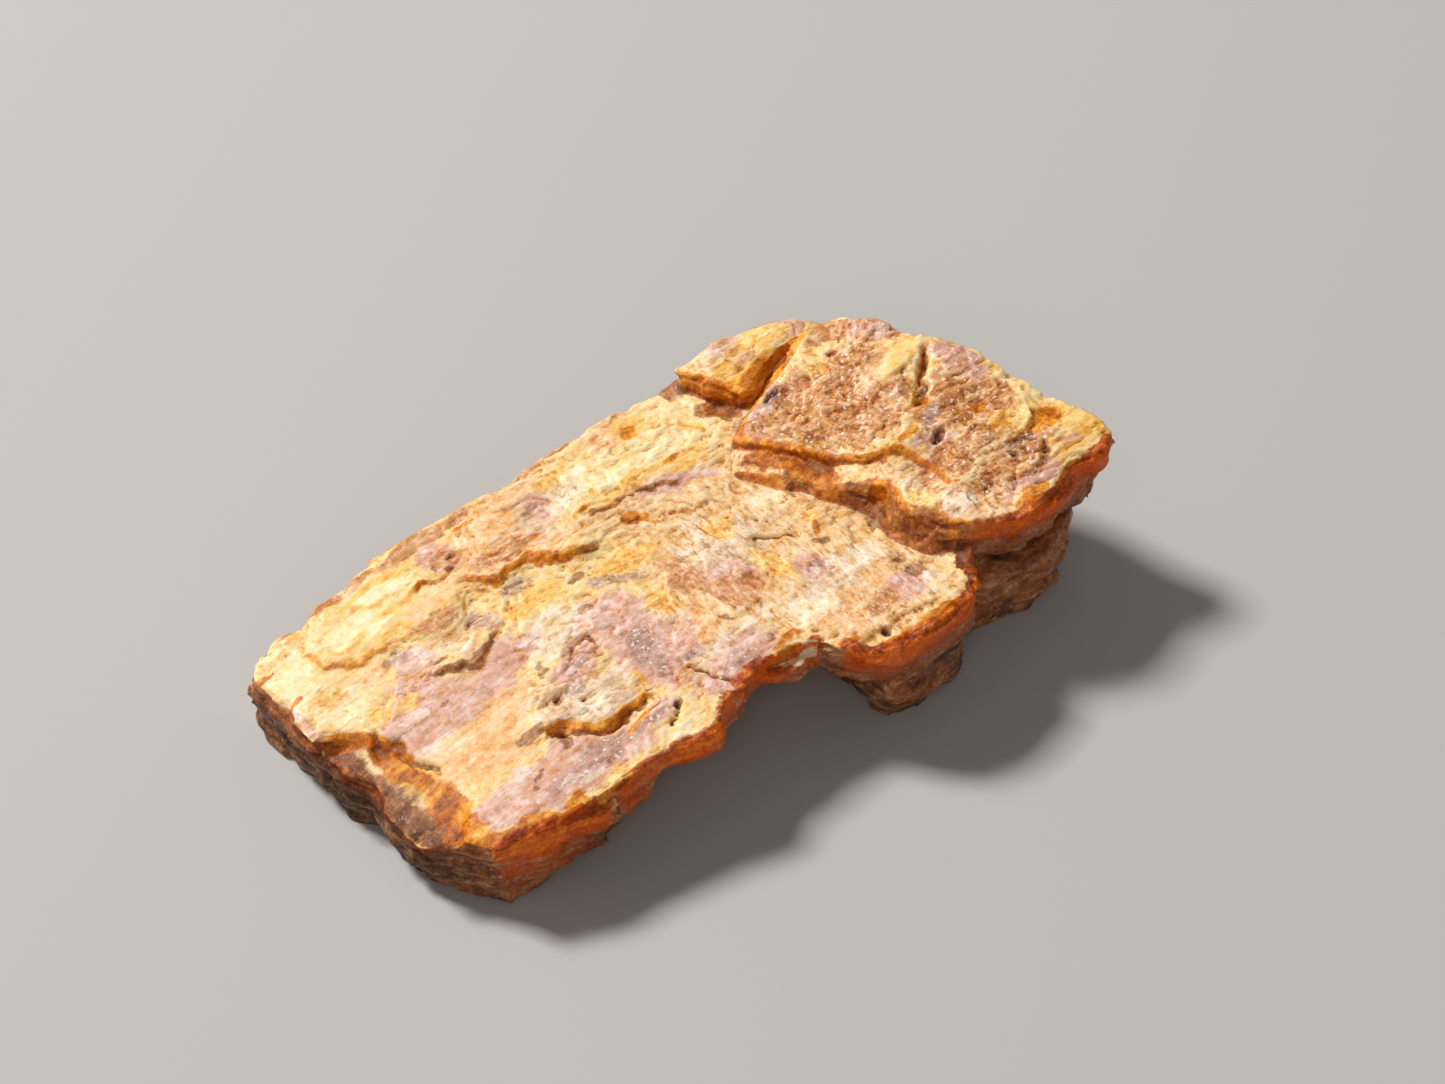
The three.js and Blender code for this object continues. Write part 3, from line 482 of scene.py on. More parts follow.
# plan distance to a line through [x, y] places, the side (+1 left), and a fade towards both ends
def nearLine(points, line, fadeLength=0.5):
    nearest = np.full(len(points), 1e9)
    side = np.zeros(len(points))
    travelled = np.zeros(len(points))
    places = np.array(line, float)
    length = 0
    for start, end in zip(places[:-1], places[1:]):
        along = end - start
        share = np.clip(((points[:, :2] - start) @ along) / (along @ along), 0, 1)
        gap = points[:, :2] - start - share[:, None] * along
        distance = np.hypot(gap[:, 0], gap[:, 1])
        closer = distance < nearest
        reach = np.hypot(*along)
        side = np.where(closer, np.sign(along[0] * gap[:, 1] - along[1] * gap[:, 0]), side)
        travelled = np.where(closer, length + share * reach, travelled)
        nearest = np.minimum(nearest, distance)
        length += reach
    fadeLength = min(fadeLength, length / 2)
    fade = smoothStep(0, fadeLength, travelled) * smoothStep(0, fadeLength, length - travelled)
    return nearest, side, fade


# how far each point lies inside any of some ragged ovals
def patchMask(points, patches, seed, ragged=0.5, softness=0.3):
    wobble = ragged * roughNoise(points, (0.9, 0.6, 1), seed, 4)
    mask = np.zeros(len(points))
    for x, y, halfLength, halfWidth, *turn in patches:
        angle = math.radians(sum(turn))
        dx, dy = points[:, 0] - x, points[:, 1] - y
        along = (dx * math.cos(angle) + dy * math.sin(angle)) / halfLength
        across = (dy * math.cos(angle) - dx * math.sin(angle)) / halfWidth
        reach = np.hypot(along, across) + wobble
        mask = np.maximum(mask, 1 - smoothStep(1 - softness, 1 + softness, reach))
    return mask


def vertexPlaces(mesh):
    flat = np.empty(len(mesh.vertices) * 3, np.float32)
    mesh.vertices.foreach_get("co", flat)
    return flat.reshape(-1, 3).astype(float)


def vertexNormals(mesh):
    flat = np.empty(len(mesh.vertices) * 3, np.float32)
    mesh.vertex_normals.foreach_get("vector", flat)
    return flat.reshape(-1, 3).astype(float)


def setPlaces(mesh, places):
    mesh.vertices.foreach_set("co", places.astype(np.float32).ravel())
    mesh.update()


# levels with steep risers, as an offset from the even slope
def terrace(value, width=0.14):
    level = np.floor(value)
    return level + smoothStep(0.5 - width, 0.5 + width, value - level) - value


# each value drawn towards its neighbours' mean, over some steps
def spreadOut(mesh, values, steps):
    ends = np.empty(len(mesh.edges) * 2, np.int32)
    mesh.edges.foreach_get("vertices", ends)
    a, b = ends.reshape(-1, 2).T
    size = len(values)
    count = np.maximum(np.bincount(a, minlength=size) + np.bincount(b, minlength=size), 1)
    values = values.copy()
    for step in range(steps):
        for column in values.T:
            total = np.bincount(a, column[b], size) + np.bincount(b, column[a], size)
            column[:] = 0.4 * column + 0.6 * total / count
    return values


def unit(vectors):
    return vectors / np.linalg.norm(vectors, axis=1)[:, None]


# height of the highest surface within a short plan reach of each point
def rimHeight(places, cell=0.1, steps=6):
    low = places[:, :2].min(0) - 1
    column = ((places[:, :2] - low) / cell).astype(int)
    heights = np.zeros(column.max(0) + 12)
    np.maximum.at(heights, (column[:, 0], column[:, 1]), places[:, 2])
    for step in range(steps):
        for axis in (0, 1):
            nextTo = np.maximum(np.roll(heights, 1, axis), np.roll(heights, -1, axis))
            heights = np.maximum(heights, nextTo)
    return heights[column[:, 0], column[:, 1]]


# plan distance from each point to the outline of the upper faces, up to a limit
def insideReach(places, normals, setup, cell=0.1, steps=9):
    ledgeStart, ledgeHeight = setup["ledge"]
    low = places[:, :2].min(0) - 1
    column = ((places[:, :2] - low) / cell).astype(int)
    filled = np.zeros(column.max(0) + 12, bool)
    upper = (normals[:, 2] > 0.35) & (places[:, 2] > np.where(places[:, 0] > ledgeStart, ledgeHeight, 1.5))
    filled[column[upper, 0], column[upper, 1]] = True
    for axis in (0, 1, 0, 1):
        filled |= np.roll(filled, 1, axis) | np.roll(filled, -1, axis)
    for axis in (0, 1, 0, 1):
        filled &= np.roll(filled, 1, axis) & np.roll(filled, -1, axis)
    depth = np.zeros(filled.shape)
    for step in range(steps):
        depth += filled
        kept = filled.copy()
        for axis in (0, 1):
            kept &= np.roll(filled, 1, axis) & np.roll(filled, -1, axis)
        filled = kept
    return depth[column[:, 0], column[:, 1]] * cell


def copyOfNode(nodeName, pieceName):
    bpy.ops.object.select_all(action="DESELECT")
    node = frame["nodes"][nodeName]
    node.select_set(True)
    bpy.context.view_layer.objects.active = node
    bpy.ops.object.duplicate()
    piece = bpy.context.active_object
    piece.name = pieceName
    piece.data.name = pieceName
    piece.parent = None
    piece.matrix_world = Matrix.Identity(4)
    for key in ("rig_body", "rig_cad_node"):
        if key in piece:
            del piece[key]
    piece.data.materials.clear()
    return piece


def resizeMesh(piece, factor):
    bpy.ops.object.mode_set(mode="EDIT")
    bpy.ops.mesh.select_all(action="SELECT")
    bpy.ops.transform.resize(value=(factor, factor, factor), center_override=(0, 0, 0))
    bpy.ops.object.mode_set(mode="OBJECT")


def applyModifier(piece, kind, **settings):
    modifier = piece.modifiers.new(kind.lower(), kind)
    for key, value in settings.items():
        setattr(modifier, key, value)
    bpy.ops.object.modifier_apply(modifier=modifier.name)


def fineMesh(setup):
    piece = copyOfNode("kyanite_crystal", "kyanite")
    bpy.ops.object.mode_set(mode="EDIT")
    bpy.ops.mesh.select_all(action="SELECT")
    bpy.ops.mesh.remove_doubles(threshold=1e-7)
    bpy.ops.object.mode_set(mode="OBJECT")
    resizeMesh(piece, 1 / mm)
    applyModifier(piece, "REMESH", mode="VOXEL", voxel_size=setup["voxel"], use_smooth_shade=True)
    applyModifier(piece, "SMOOTH", iterations=setup["smoothing"], factor=0.5)
    return piece


# noise drawn out along the blade, and across it where the grain turns
def drawnNoise(flat, cross, length, width, seed, octaves=3):
    along = roughNoise(flat, (length, width, 1), seed, octaves)
    across = roughNoise(flat, (width * 1.2, length * 0.7, 1), seed + 7, octaves)
    return along * (1 - cross) + across * cross


def warpPlan(flat):
    shift = np.column_stack([roughNoise(flat, (0.7, 0.7, 1), 3, 4), roughNoise(flat, (0.7, 0.7, 1), 7, 4)])
    return flat + 0.3 * np.column_stack([shift, np.zeros(len(flat))])


# places shaken on a fine scale too, so that lines through them are ragged
def jagPlan(flat):
    shift = np.column_stack([roughNoise(flat, (0.3, 0.3, 1), 17), roughNoise(flat, (0.3, 0.3, 1), 19)])
    return warpPlan(flat) + 0.14 * np.column_stack([shift, np.zeros(len(flat))])


def field(flat, setup, name):
    seed = 91 + 2 * list(setup["fields"]).index(name)
    return patchMask(flat, setup["fields"][name], seed)


def shapeTop(places, broad, setup):
    flat = places * np.array([1, 1, 0])
    warped = warpPlan(flat)
    cross = field(flat, setup, "crossGrain")
    lumpy = field(flat, setup, "lumpy")
    worn = field(flat, setup, "worn")
    sugary = field(flat, setup, "sugary") * (1 - worn)
    gentle = smoothStep(0.86, 0.96, broad[:, 2])
    lift = np.zeros(len(places))
    for height, length, width, wander, seed in setup["sheets"]:
        level = places[:, 2] / height + wander * drawnNoise(warped, cross, length, width, seed, 5)
        level += 0.4 * drawnNoise(flat, cross, 0.6, 0.2, seed + 3)
        lift += height * terrace(level) * gentle * (1 - 0.6 * lumpy) * (1 - 0.7 * worn)
    jagged = jagPlan(flat)
    strength = smoothStep(-0.7, 0.3, roughNoise(flat, (0.8, 0.6, 1), 45))
    for height, line in setup["edges"].values():
        gap, side, fade = nearLine(jagged, line)
        edge = smoothStep(-0.06, 0.06, gap * side)
        lift += height * strength * fade * edge * (1 - smoothStep(0.15, setup["stepReach"], gap))
    for width, depth, line in setup["cracks"].values():
        gap, side, fade = nearLine(warped if depth < 0 else jagged, line, 0.3)
        lift -= depth * fade * (1 - smoothStep(0.2, 1, gap / (1.5 * width)))
    for x, y, radius, depth in setup["pits"]:
        gap = np.hypot(warped[:, 0] - x, warped[:, 1] - y)
        lift -= depth * (1 - smoothStep(0.2, 1.2, gap / radius))
    ridges = 1 - 2 * np.abs(drawnNoise(0.5 * (flat + warped), cross, 1.9, 0.22, 51))
    lift += setup["splinters"] * ridges * (1 - 0.5 * worn)
    for width, height, seed in setup["facets"]:
        for stretch, share in (((0.4, 1, 1), 1 - cross), ((1, 0.5, 1), cross)):
            gap, slope = scatterCells(0.5 * (flat + warped) * stretch, width, seed)
            lift += height * slope * share * (1 - 0.6 * worn) * (1 - 0.5 * sugary)
    lift += setup["grain"] * roughNoise(places, (0.4, 0.28, 0.3), 61) * (1 - 0.5 * worn)
    lift += setup["waves"] * roughNoise(flat, (1.6, 0.8, 1), 65)
    lift += lumpy * lumpRelief(warped) + sugary * sugarRelief(flat)
    return lift


# worm-like crests between hollows
def lumpRelief(warped):
    crests = 1 - 2 * np.abs(roughNoise(warped * (1, 1.3, 1), (0.75, 0.75, 1), 71, 2))
    gap, slope = scatterCells(warped * (1, 1.25, 1), 0.62, 73)
    return 0.12 * (crests - 0.6) + 0.08 * (0.55 - gap**1.5)


# small tilted grains, coarse in some places and fine in others
def sugarRelief(flat):
    relief = 0.07 * roughNoise(flat, (0.8, 0.5, 1), 79)
    share = smoothStep(-0.3, 0.3, roughNoise(flat, (1.2, 1.2, 1), 89))
    for size, height, seed in ((0.28, 0.028, 81), (0.5, 0.06, 85), (1.1, 0.15, 87)):
        gap, slope = scatterCells(flat + 0.1 * warpPlan(flat), size, seed)
        relief += height * slope * (0.4 + 0.6 * (share if size > 0.3 else 1 - share))
    return relief


# small chips broken out of the rims
def chipRims(places, normals, setup):
    near = smoothStep(0.55, 0.1, insideReach(places, normals, setup))
    near *= smoothStep(0.6, 0.2, rimHeight(places) - places[:, 2])
    chips = smoothStep(-0.1, 0.5, roughNoise(places, (0.7, 0.7, 0.35), 115, 4))
    return -setup["rimChips"] * near * chips


def shapeWalls(places, inner, setup):
    sheets = roughNoise(places, (2.4, 2.4, 0.3), 101)
    push = setup["wallSheets"] * (smoothStep(-0.12, 0.12, sheets) - 0.5)
    push += 0.06 * roughNoise(places, (1.2, 1.2, 0.16), 105)
    push += 0.07 * roughNoise(places, (0.35, 0.35, 0.2), 109)
    gap, slope = scatterCells(places, 1.1, 111)
    push += 0.16 * slope * (1 - inner)
    return push + setup["riserChips"] * (slope + 0.4 * roughNoise(places, (0.5, 0.5, 0.6), 113)) * inner


def addMask(mesh, name, values):
    layer = mesh.attributes.new(name, "FLOAT", "POINT")
    layer.data.foreach_set("value", np.clip(values, 0, 1).astype(np.float32))


# masks from the shape before its fine relief: steep steps, hollows, rims, walls and how far below a rim
def paintShape(mesh, places, normals, setup):
    near = unit(spreadOut(mesh, normals, 2))
    hollow = ((spreadOut(mesh, places, 28) - places) * normals).sum(1)
    broad = unit(spreadOut(mesh, normals, 12))
    addMask(mesh, "riser", smoothStep(0.94, 0.82, near[:, 2]))
    addMask(mesh, "broadCavity", 0.5 + hollow / 0.5)
    addMask(mesh, "stepDepth", rimHeight(places, 0.12) - places[:, 2])
    ledgeStart, ledgeHeight = setup["ledge"]
    ledge = smoothStep(0, 0.6, places[:, 0] - ledgeStart) * smoothStep(0, -0.3, places[:, 2] - ledgeHeight)
    drop = rimHeight(places) - places[:, 2]
    addMask(mesh, "below", np.maximum(drop / 4, ledge))
    reach = insideReach(places, normals, setup)
    outer = np.maximum(smoothStep(0.75, 0.55, reach), smoothStep(0.1, -0.2, broad[:, 2]))
    addMask(mesh, "rim", smoothStep(0.7, 0.1, reach))
    steep = smoothStep(0.4, 0.8, drop) * smoothStep(0.95, 0.7, reach)
    wall = (1 - smoothStep(0.25, 0.6, broad[:, 2])) * outer
    addMask(mesh, "wallSide", np.maximum(wall, np.maximum(steep, ledge)))


# rims and steps worn round; the blade's face is worn more than the end block
def wearDown(mesh, places, normals, setup):
    rims = spreadOut(mesh, places, setup["rimWear"])
    face = spreadOut(mesh, rims, setup["faceWear"] - setup["rimWear"])
    x, y, z = places.T
    blade = smoothStep(0, -1.2, x - setup["bladeEnd"])
    mound = 0.5 * smoothStep(3.2, 3.9, y) * (x > setup["bladeEnd"])
    inner = smoothStep(0.35, 0.75, insideReach(places, normals, setup)) * np.minimum(blade + mound, 1)
    inner = np.maximum(inner, 0.5 * smoothStep(0, -1.2, x - setup["shelfEnd"]) * smoothStep(1.4, 2.2, z))
    lifted = smoothStep(0.1, 0.5, z)
    rims += (face - rims) * inner[:, None]
    return places + (rims - places) * lifted[:, None]


def detailCrystal(piece, setup):
    mesh = piece.data
    places = vertexPlaces(mesh)
    low, high = places.min(0), places.max(0)
    places = wearDown(mesh, places, vertexNormals(mesh), setup)
    setPlaces(mesh, places)
    normals = vertexNormals(mesh)
    paintShape(mesh, places, normals, setup)
    broad = unit(spreadOut(mesh, normals, 8))
    top = smoothStep(0.5, 0.8, broad[:, 2])
    wall = 1 - smoothStep(0.35, 0.75, broad[:, 2])
    wall *= 1 - smoothStep(0.3, 0.0, places[:, 2]) * smoothStep(-0.6, -0.9, broad[:, 2])
    inner = smoothStep(0.6, 0.9, insideReach(places, normals, setup))
    push = shapeWalls(places, inner, setup) * wall + chipRims(places, normals, setup)
    lift = shapeTop(places, broad, setup) * top
    places += broad * push[:, None]
    places[:, 2] += lift
    setPlaces(mesh, np.clip(places, low, high))


def thinMesh(piece, setup):
    mesh = piece.data
    mesh.calc_loop_triangles()
    normals = unit(spreadOut(mesh, vertexNormals(mesh), 3))
    hidden = smoothStep(0.2, -0.5, normals[:, 2])
    group = piece.vertex_groups.new(name="underside")
    for index in np.nonzero(hidden > 0.02)[0]:
        group.add([int(index)], float(hidden[index]), "REPLACE")
    share = setup["triangles"] / len(mesh.loop_triangles)
    if share < 1:
        applyModifier(piece, "DECIMATE", ratio=share, vertex_group=group.name, vertex_group_factor=0.6)
    piece.vertex_groups.clear()
    mesh.calc_loop_triangles()
    print("triangles:", len(mesh.loop_triangles))


def paintMasks(piece, setup):
    mesh = piece.data
    places = vertexPlaces(mesh)
    places[:, 2] = np.maximum(places[:, 2], 0)
    setPlaces(mesh, places)
    normals = vertexNormals(mesh)
    flat = places * np.array([1, 1, 0])
    hollow = ((spreadOut(mesh, places, 4) - places) * normals).sum(1)
    tilt = 1 - (normals * unit(spreadOut(mesh, normals, 8))).sum(1)
    warped, jagged = warpPlan(flat), jagPlan(flat)
    seam = np.zeros(len(places))
    for height, line in setup["edges"].values():
        gap, side, fade = nearLine(jagged, line)
        seam = np.maximum(seam, min(1, height / 0.12) * fade * (1 - smoothStep(0.02, 0.2, gap)))
    split = np.zeros(len(places))
    for width, depth, line in setup["cracks"].values():
        gap, side, fade = nearLine(jagged, line, 0.3)
        split = np.maximum(split, (depth > 0) * fade * (1 - smoothStep(0.1, 1, gap / (1.3 * width))))
    for x, y, radius, depth in setup["pits"]:
        gap = np.hypot(warped[:, 0] - x, warped[:, 1] - y)
        split = np.maximum(split, min(1, depth / 0.2) * (1 - smoothStep(0.2, 1.1, gap / radius)))
    for seed, (name, ovals) in enumerate(setup["patches"].items()):
        mask = patchMask(warped, ovals, 200 + 10 * seed, 0.3, 0.65)
        for halfWidth, line in setup["strokes"].get(name, []):
            gap, side, fade = nearLine(jagged, line, 0.5)
            mask = np.maximum(mask, fade * (1 - smoothStep(0, 2.2, gap / halfWidth)))
        addMask(mesh, name, mask)
    addMask(mesh, "seam", seam)
    addMask(mesh, "split", split)
    addMask(mesh, "cavity", 0.5 + hollow / 0.07)
    addMask(mesh, "flakeEdge", smoothStep(0.01, 0.12, tilt))
    for name in setup["fields"]:
        addMask(mesh, name, field(flat, setup, name))


kyanite = fineMesh(crystal)
detailCrystal(kyanite, crystal)
thinMesh(kyanite, crystal)
print("crystal shaped")
paintMasks(kyanite, crystal)
resizeMesh(kyanite, mm)
print("masks painted")


# a socket in shader sums: its operators add Math nodes
class Link:
    def __init__(self, finish, socket):
        self.finish = finish
        self.socket = socket

    def __add__(self, other):
        return self.finish.sum("ADD", self, other)

    def __sub__(self, other):
        return self.finish.sum("SUBTRACT", self, other)

    def __rsub__(self, other):
        return self.finish.sum("SUBTRACT", other, self)

    def __mul__(self, other):
        return self.finish.sum("MULTIPLY", self, other)

    __radd__ = __add__
    __rmul__ = __mul__


class Finish:
    def __init__(self, name, colors):
        self.colors = colors
        self.material = bpy.data.materials.new(name)
        self.material.use_nodes = True
        self.tree = self.material.node_tree
        self.shader = self.tree.nodes["Principled BSDF"]
        place = self.node("ShaderNodeTexCoord", output="Object")
        self.place = self.node(
            "ShaderNodeVectorMath", {"operation": "SCALE"}, {"Vector": place, "Scale": 1 / mm}, "Vector"
        )

    # adds a node: its settings first, then its sockets' values or links; returns one output
    def node(self, kind, settings=None, sockets=None, output=0):
        node = self.tree.nodes.new(kind)
        for key, value in (settings or {}).items():
            if key == "stops":
                self.setStops(node.color_ramp, value)
            else:
                setattr(node, key, value)
        for key, value in (sockets or {}).items():
            self.feed(node.inputs[key], value)
        return Link(self, node.outputs[output])

    def feed(self, socket, value):
        if isinstance(value, Link):
            self.tree.links.new(value.socket, socket)
        else:
            socket.default_value = value

    def setStops(self, ramp, stops):
        while len(ramp.elements) < len(stops):
            ramp.elements.new(0.5)
        for element, (position, color) in zip(ramp.elements, stops):
            element.position = position
            element.color = color

    def sum(self, operation, first, second):
        return self.node("ShaderNodeMath", {"operation": operation}, {0: first, 1: second})

    def mask(self, name):
        return self.node("ShaderNodeAttribute", {"attribute_name": name}, output="Fac")

    def ramp(self, value, low, high, fromZero=0.0, toOne=1.0):
        return self.node(
            "ShaderNodeMapRange",
            {"interpolation_type": "SMOOTHSTEP"},
            {"Value": value, "From Min": low, "From Max": high, "To Min": fromZero, "To Max": toOne},
        )

    def color(self, name):
        return paint(*self.colors[name])

    # the named colours, spread evenly from the darkest to the palest
    def shades(self, value, name):
        colors = self.colors[name]
        stops = [(index / (len(colors) - 1), paint(*color)) for index, color in enumerate(colors)]
        return self.node("ShaderNodeValToRGB", {"stops": stops}, {"Fac": value}, "Color")

    def blend(self, mask, first, second, mode="MIX"):
        settings = {"data_type": "RGBA", "blend_type": mode}
        return self.node("ShaderNodeMix", settings, {"Factor": mask, 6: first, 7: second}, 2)

    def stretched(self, scale, turn=0.0):
        sockets = {"Vector": self.place, "Rotation": (0, 0, math.radians(turn)), "Scale": scale}
        return self.node("ShaderNodeMapping", {}, sockets)

    # soft noise around 0
    def noise(self, scale, detail=4.0, place=None, roughness=0.7):
        sockets = {"Vector": place or self.place, "Scale": scale, "Detail": detail, "Roughness": roughness}
        return self.node("ShaderNodeTexNoise", {}, sockets, "Fac") - 0.5

    # a random value from -0.5 to 0.5 for each small cell
    def cells(self, scale, place=None):
        sockets = {"Vector": place or self.place, "Scale": scale}
        color = self.node("ShaderNodeTexVoronoi", {}, sockets, "Color")
        return self.node("ShaderNodeSeparateColor", {}, {"Color": color}, "Red") - 0.5

    # thin lines where a noise crosses 0
    def lines(self, noise, width):
        gap = self.node("ShaderNodeMath", {"operation": "ABSOLUTE"}, {0: noise})
        return self.ramp(gap, width, 0.0)


def paint(red, green, blue):
    channels = [c / 255 for c in (red, green, blue)]
    return [c / 12.92 if c <= 0.04045 else ((c + 0.055) / 1.055) ** 2.4 for c in channels] + [1]


def makeKyanite(setup):
    look = Finish("orangeKyanite", setup["shades"])
    cross, lumpy, worn = look.mask("crossGrain"), look.mask("lumpy"), look.mask("worn")
    sugary = look.mask("sugary") * (1 - worn)
    cavity, broadCavity = look.mask("cavity") - 0.5, look.mask("broadCavity") - 0.5

    def streaks(length, width, detail, roughness=0.65):
        along = look.noise(1, detail, look.stretched((1 / length, 1 / width, 1 / width)), roughness)
        across = look.noise(1, detail, look.stretched((1 / width, 1.5 / length, 1 / width)), roughness)
        return along * (1 - cross) + across * cross

    broadStreak = streaks(1.5, 0.4, 4)
    fineStreak = streaks(0.55, 0.1, 3)
    cloud = look.noise(0.8, 5)
    hue = look.noise(1.7, 4)
    blotch = look.noise(3.1, 4)
    speckle = look.noise(8, 3)
    grain = look.noise(19, 2)
    # torn edges for the patches, drawn out along the grain
    ragged = 1.2 * cloud + 1.1 * broadStreak + 0.8 * blotch + 0.8 * fineStreak

    def tint(name, share=1.0, low=0.34, high=0.66):
        return look.ramp(look.mask(name) + share * ragged, low, high)

    # shades of a named colour laid over another colour
    def over(color, mask, value, name):
        return look.blend(mask, color, look.shades(value, name))

    # one tone from dark to pale, which every part of the face shares
    sugar = look.cells(3.6) * 0.5 + look.cells(9) * 0.5
    facet = 0.6 * look.cells(1, look.stretched((1.3, 3.2, 3), 6))
    facet = facet + 0.4 * look.cells(1, look.stretched((3.2, 9, 8), -4))
    rough = look.ramp(cloud + 0.6 * hue, -0.12, 0.12, 0.5, 1.15)
    rough = rough * (0.8 + 0.3 * cross + 0.3 * sugary - 0.3 * worn - 0.3 * look.mask("lilac"))
    tone = 0.52 - 0.05 * sugary + 0.7 * broadStreak + 0.6 * hue + 0.7 * blotch + 0.22 * facet
    tone = tone + rough * (1.1 * fineStreak + 0.6 * speckle + 0.7 * grain)
    # painted shade: the tone drops in hollows, more in the lumpy field
    tone = tone + sugary * (0.4 * sugar) - 0.32 * cavity - 0.3 * (lumpy * cavity)
    # pale stone and painted highlights raise the tone; mica lowers it
    tone = tone + 0.24 * tint("frost", 1.2) - 0.08 * look.mask("mica")

    # fine cracks and pale fibres
    hairNoise = streaks(0.9, 0.26, 5, 0.6)
    threads = look.lines(hairNoise, 0.02)
    hairs = threads * look.ramp(hue, 0.02, -0.04)
    fibres = threads * look.ramp(hue, 0.0, 0.06)
    tone = tone - 0.2 * hairs + 0.18 * fibres

    color = look.shades(tone, "butter")
    color = over(color, 0.9 * tint("straw"), tone, "straw")
    color = over(color, 0.5 * look.ramp(hue + 0.5 * speckle, 0.03, 0.12), tone, "peach")
    color = over(color, 0.85 * tint("peach"), tone, "peach")
    color = over(color, 0.75 * tint("chalk"), tone, "chalk")
    color = over(color, 0.9 * tint("lilac"), tone, "lilac")
    color = over(color, 0.9 * tint("salmon"), tone, "salmon")
    color = over(color, 0.32 * look.ramp(hue + 0.5 * speckle, -0.04, -0.12), tone, "gold")
    color = over(color, 0.65 * tint("mica", 1.2), tone + 0.6 * grain, "mica")
    color = over(color, 0.75 * tint("gold"), tone, "gold")
    color = over(color, 0.92 * tint("rust", 0.7, 0.2, 0.8), tone - 0.2, "rust")

    # painted shade: creases and hollows go golden brown; the edges of sheets go golden brown as their own
    # colour
    crease = look.ramp(cavity + 0.5 * speckle, 0.1, 0.4)
    outline = look.mask("rim") * (1 - look.mask("glow"))
    edge = look.ramp(look.mask("flakeEdge") + 0.8 * blotch + 0.5 * speckle, 0.3, 0.9)
    seam = look.ramp(look.mask("seam") + 0.7 * speckle + 1.2 * blotch, 0.35, 0.9)
    color = over(color, 0.55 * crease, tone, "amber")
    color = over(color, 0.32 * edge, tone + 0.12, "amber")
    color = over(color, 0.7 * seam, tone + 0.12, "amber")

    # clear golden stone on the steps, darker towards their feet and in broad hollows as painted shade
    depth = look.mask("stepDepth")
    riser = look.ramp(look.mask("riser") + 0.9 * speckle + 0.9 * blotch - 0.5 * outline, 0.3, 0.75)
    clear = 0.69 - 0.34 * depth - 0.8 * broadCavity + 0.8 * broadStreak + 0.5 * speckle
    clear = clear + 0.7 * blotch + 0.3 * facet + 0.3 * (tone - 0.5)
    color = over(color, 0.92 * riser, clear, "amber")
    orange = tint("orange", 0.7)
    color = over(color, 0.92 * orange, clear - 0.06, "amber")
    # painted glow: the front rims go deep flame orange, as if lit through
    rim = look.ramp(look.mask("rim") * look.mask("glow") + 0.7 * ragged, 0.2, 0.48)
    color = over(color, 0.94 * rim, 0.6 * tone + 0.6 * clear - 0.37, "flame")
    # brown marks and cracks, some of them painted shadow at the feet of steps
    color = over(color, 0.75 * tint("brown", 0.7), tone - 0.12, "brown")
    split = look.ramp(look.mask("split") + 0.5 * speckle, 0.3, 0.85)
    color = over(color, 0.7 * split, tone - 0.2, "brown")

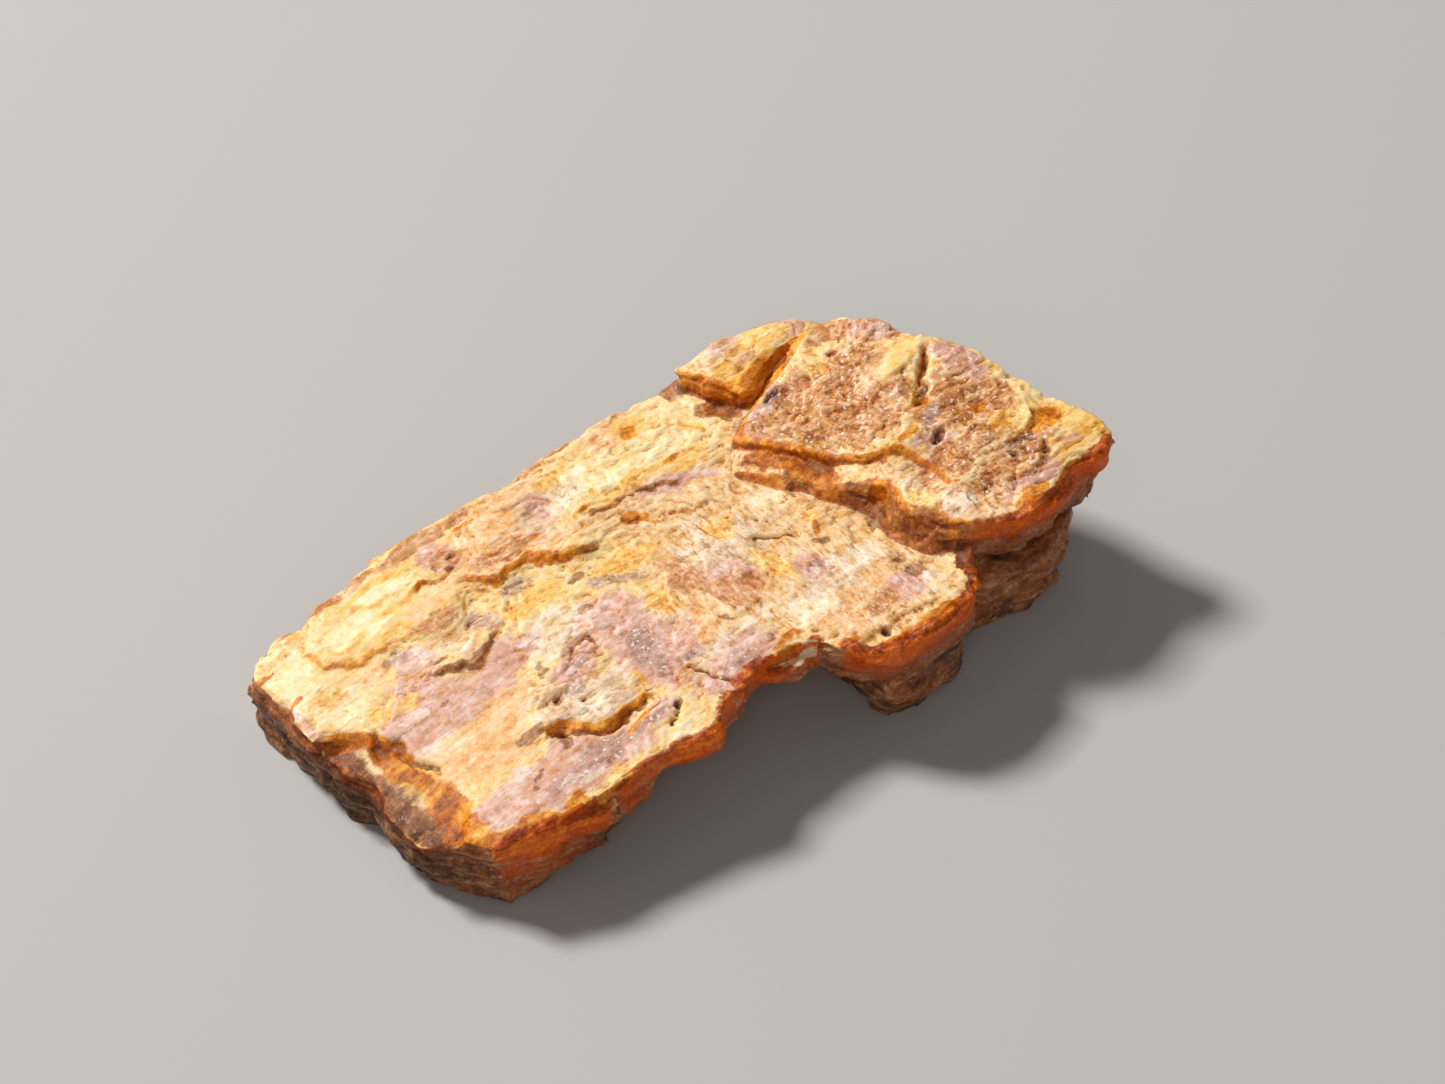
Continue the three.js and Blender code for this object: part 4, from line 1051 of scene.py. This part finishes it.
    # walls: painted glow under the rim where the rim is thin, rust at the left end, then layered brown,
    # darker further below the rim as painted shade
    below = look.mask("below") * 4
    glow, soot = look.mask("glow"), look.mask("soot")
    wallNoise = look.noise(1, 4, look.stretched((0.7, 0.7, 3)), roughness=0.65)
    sink = below + 1.6 * wallNoise + 1.0 * blotch - 0.8 * look.mask("ember")
    layers = look.noise(1, 3, look.stretched((0.9, 0.9, 7)), roughness=0.6)
    wallTone = 0.66 - 0.25 * look.ramp(sink, 0.0, 1.2) + 1.0 * wallNoise + 1.1 * layers - 0.2 * soot
    wallTone = wallTone + 0.7 * blotch + 0.7 * speckle + 0.7 * grain
    bare = look.ramp(cloud + 0.6 * hue + 0.4 * wallNoise, -0.08, 0.06)
    bare = bare * (1 - 0.8 * soot) * (1 - 0.8 * glow)
    wallColor = over(look.shades(wallTone, "wall"), 0.8 * bare, wallTone + 0.06, "salmon")
    glowTone = 0.84 - 0.6 * look.ramp(sink, 0.0, 1.2) + 1.1 * blotch + 0.9 * speckle
    wallGlow = glow * look.ramp(sink, 1.4, 0.5)
    wallColor = over(wallColor, wallGlow, glowTone, "glow")
    wallColor = over(wallColor, 0.9 * soot * look.ramp(sink, 1.2, 0.5), wallTone + 0.1, "rust")
    wallPart = look.ramp(look.mask("wallSide") + 0.5 * speckle + 0.4 * blotch, 0.3, 0.7)
    color = look.blend(wallPart, color, wallColor)
    # painted highlight: the ledge under the notch painted pale straw, and kept out of the glow
    lip = tint("lip", 0.3)
    color = over(color, 0.8 * lip, tone + 0.3, "straw")

    # painted highlights: white glints painted into the colour on small cells, mostly where the stone is
    # sugary, micaceous or lilac
    sparkle = sugary + 0.6 * look.mask("mica") + 0.4 * look.mask("lilac")
    sparkle = look.ramp(look.cells(12), 0.44, 0.46) * look.ramp(sparkle, 0.2, 0.9, 0.2, 0.9)
    sparkle = sparkle * (1 - wallPart) * (1 - 0.9 * riser) * (1 - orange)
    color = look.blend(0.7 * sparkle, color, look.color("glint"))
    look.feed(look.shader.inputs["Base Color"], color)

    roughness = 0.5 + 0.4 * speckle - 0.3 * sparkle - 0.12 * riser
    look.feed(look.shader.inputs["Roughness"], roughness)

    # painted glow: walls under thin rims, steps, orange patches and front rims emit ember light, and the
    # whole stone a faint warm glow that lightens its shade
    lit = wallGlow * wallPart * look.ramp(sink, 0.0, 0.3) + 0.2 * (riser * (1 - wallPart))
    lit = (lit + 0.15 * orange + 0.3 * rim) * (1 - lip)
    shade = look.blend(1.0, color, look.color("warmth"), "MULTIPLY")
    ember = look.blend(lit, shade, look.color("ember"))
    look.feed(look.shader.inputs["Emission Color"], ember)
    for name, value in setup["stone"].items():
        look.feed(look.shader.inputs[name], value)

    relief = 0.85 * fineStreak + 0.25 * speckle + 0.2 * grain + 0.12 * facet - 0.08 * hairs
    relief = relief + sugary * (0.12 * sugar)
    sockets = {"Strength": setup["bumpStrength"], "Distance": setup["bumpDepth"] * mm, "Height": relief}
    look.feed(look.shader.inputs["Normal"], look.node("ShaderNodeBump", {}, sockets, "Normal"))
    return look.material


kyanite.data.materials.append(makeKyanite(crystal))
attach(kyanite, "root")
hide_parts("kyanite_crystal")
print("crystal finished")
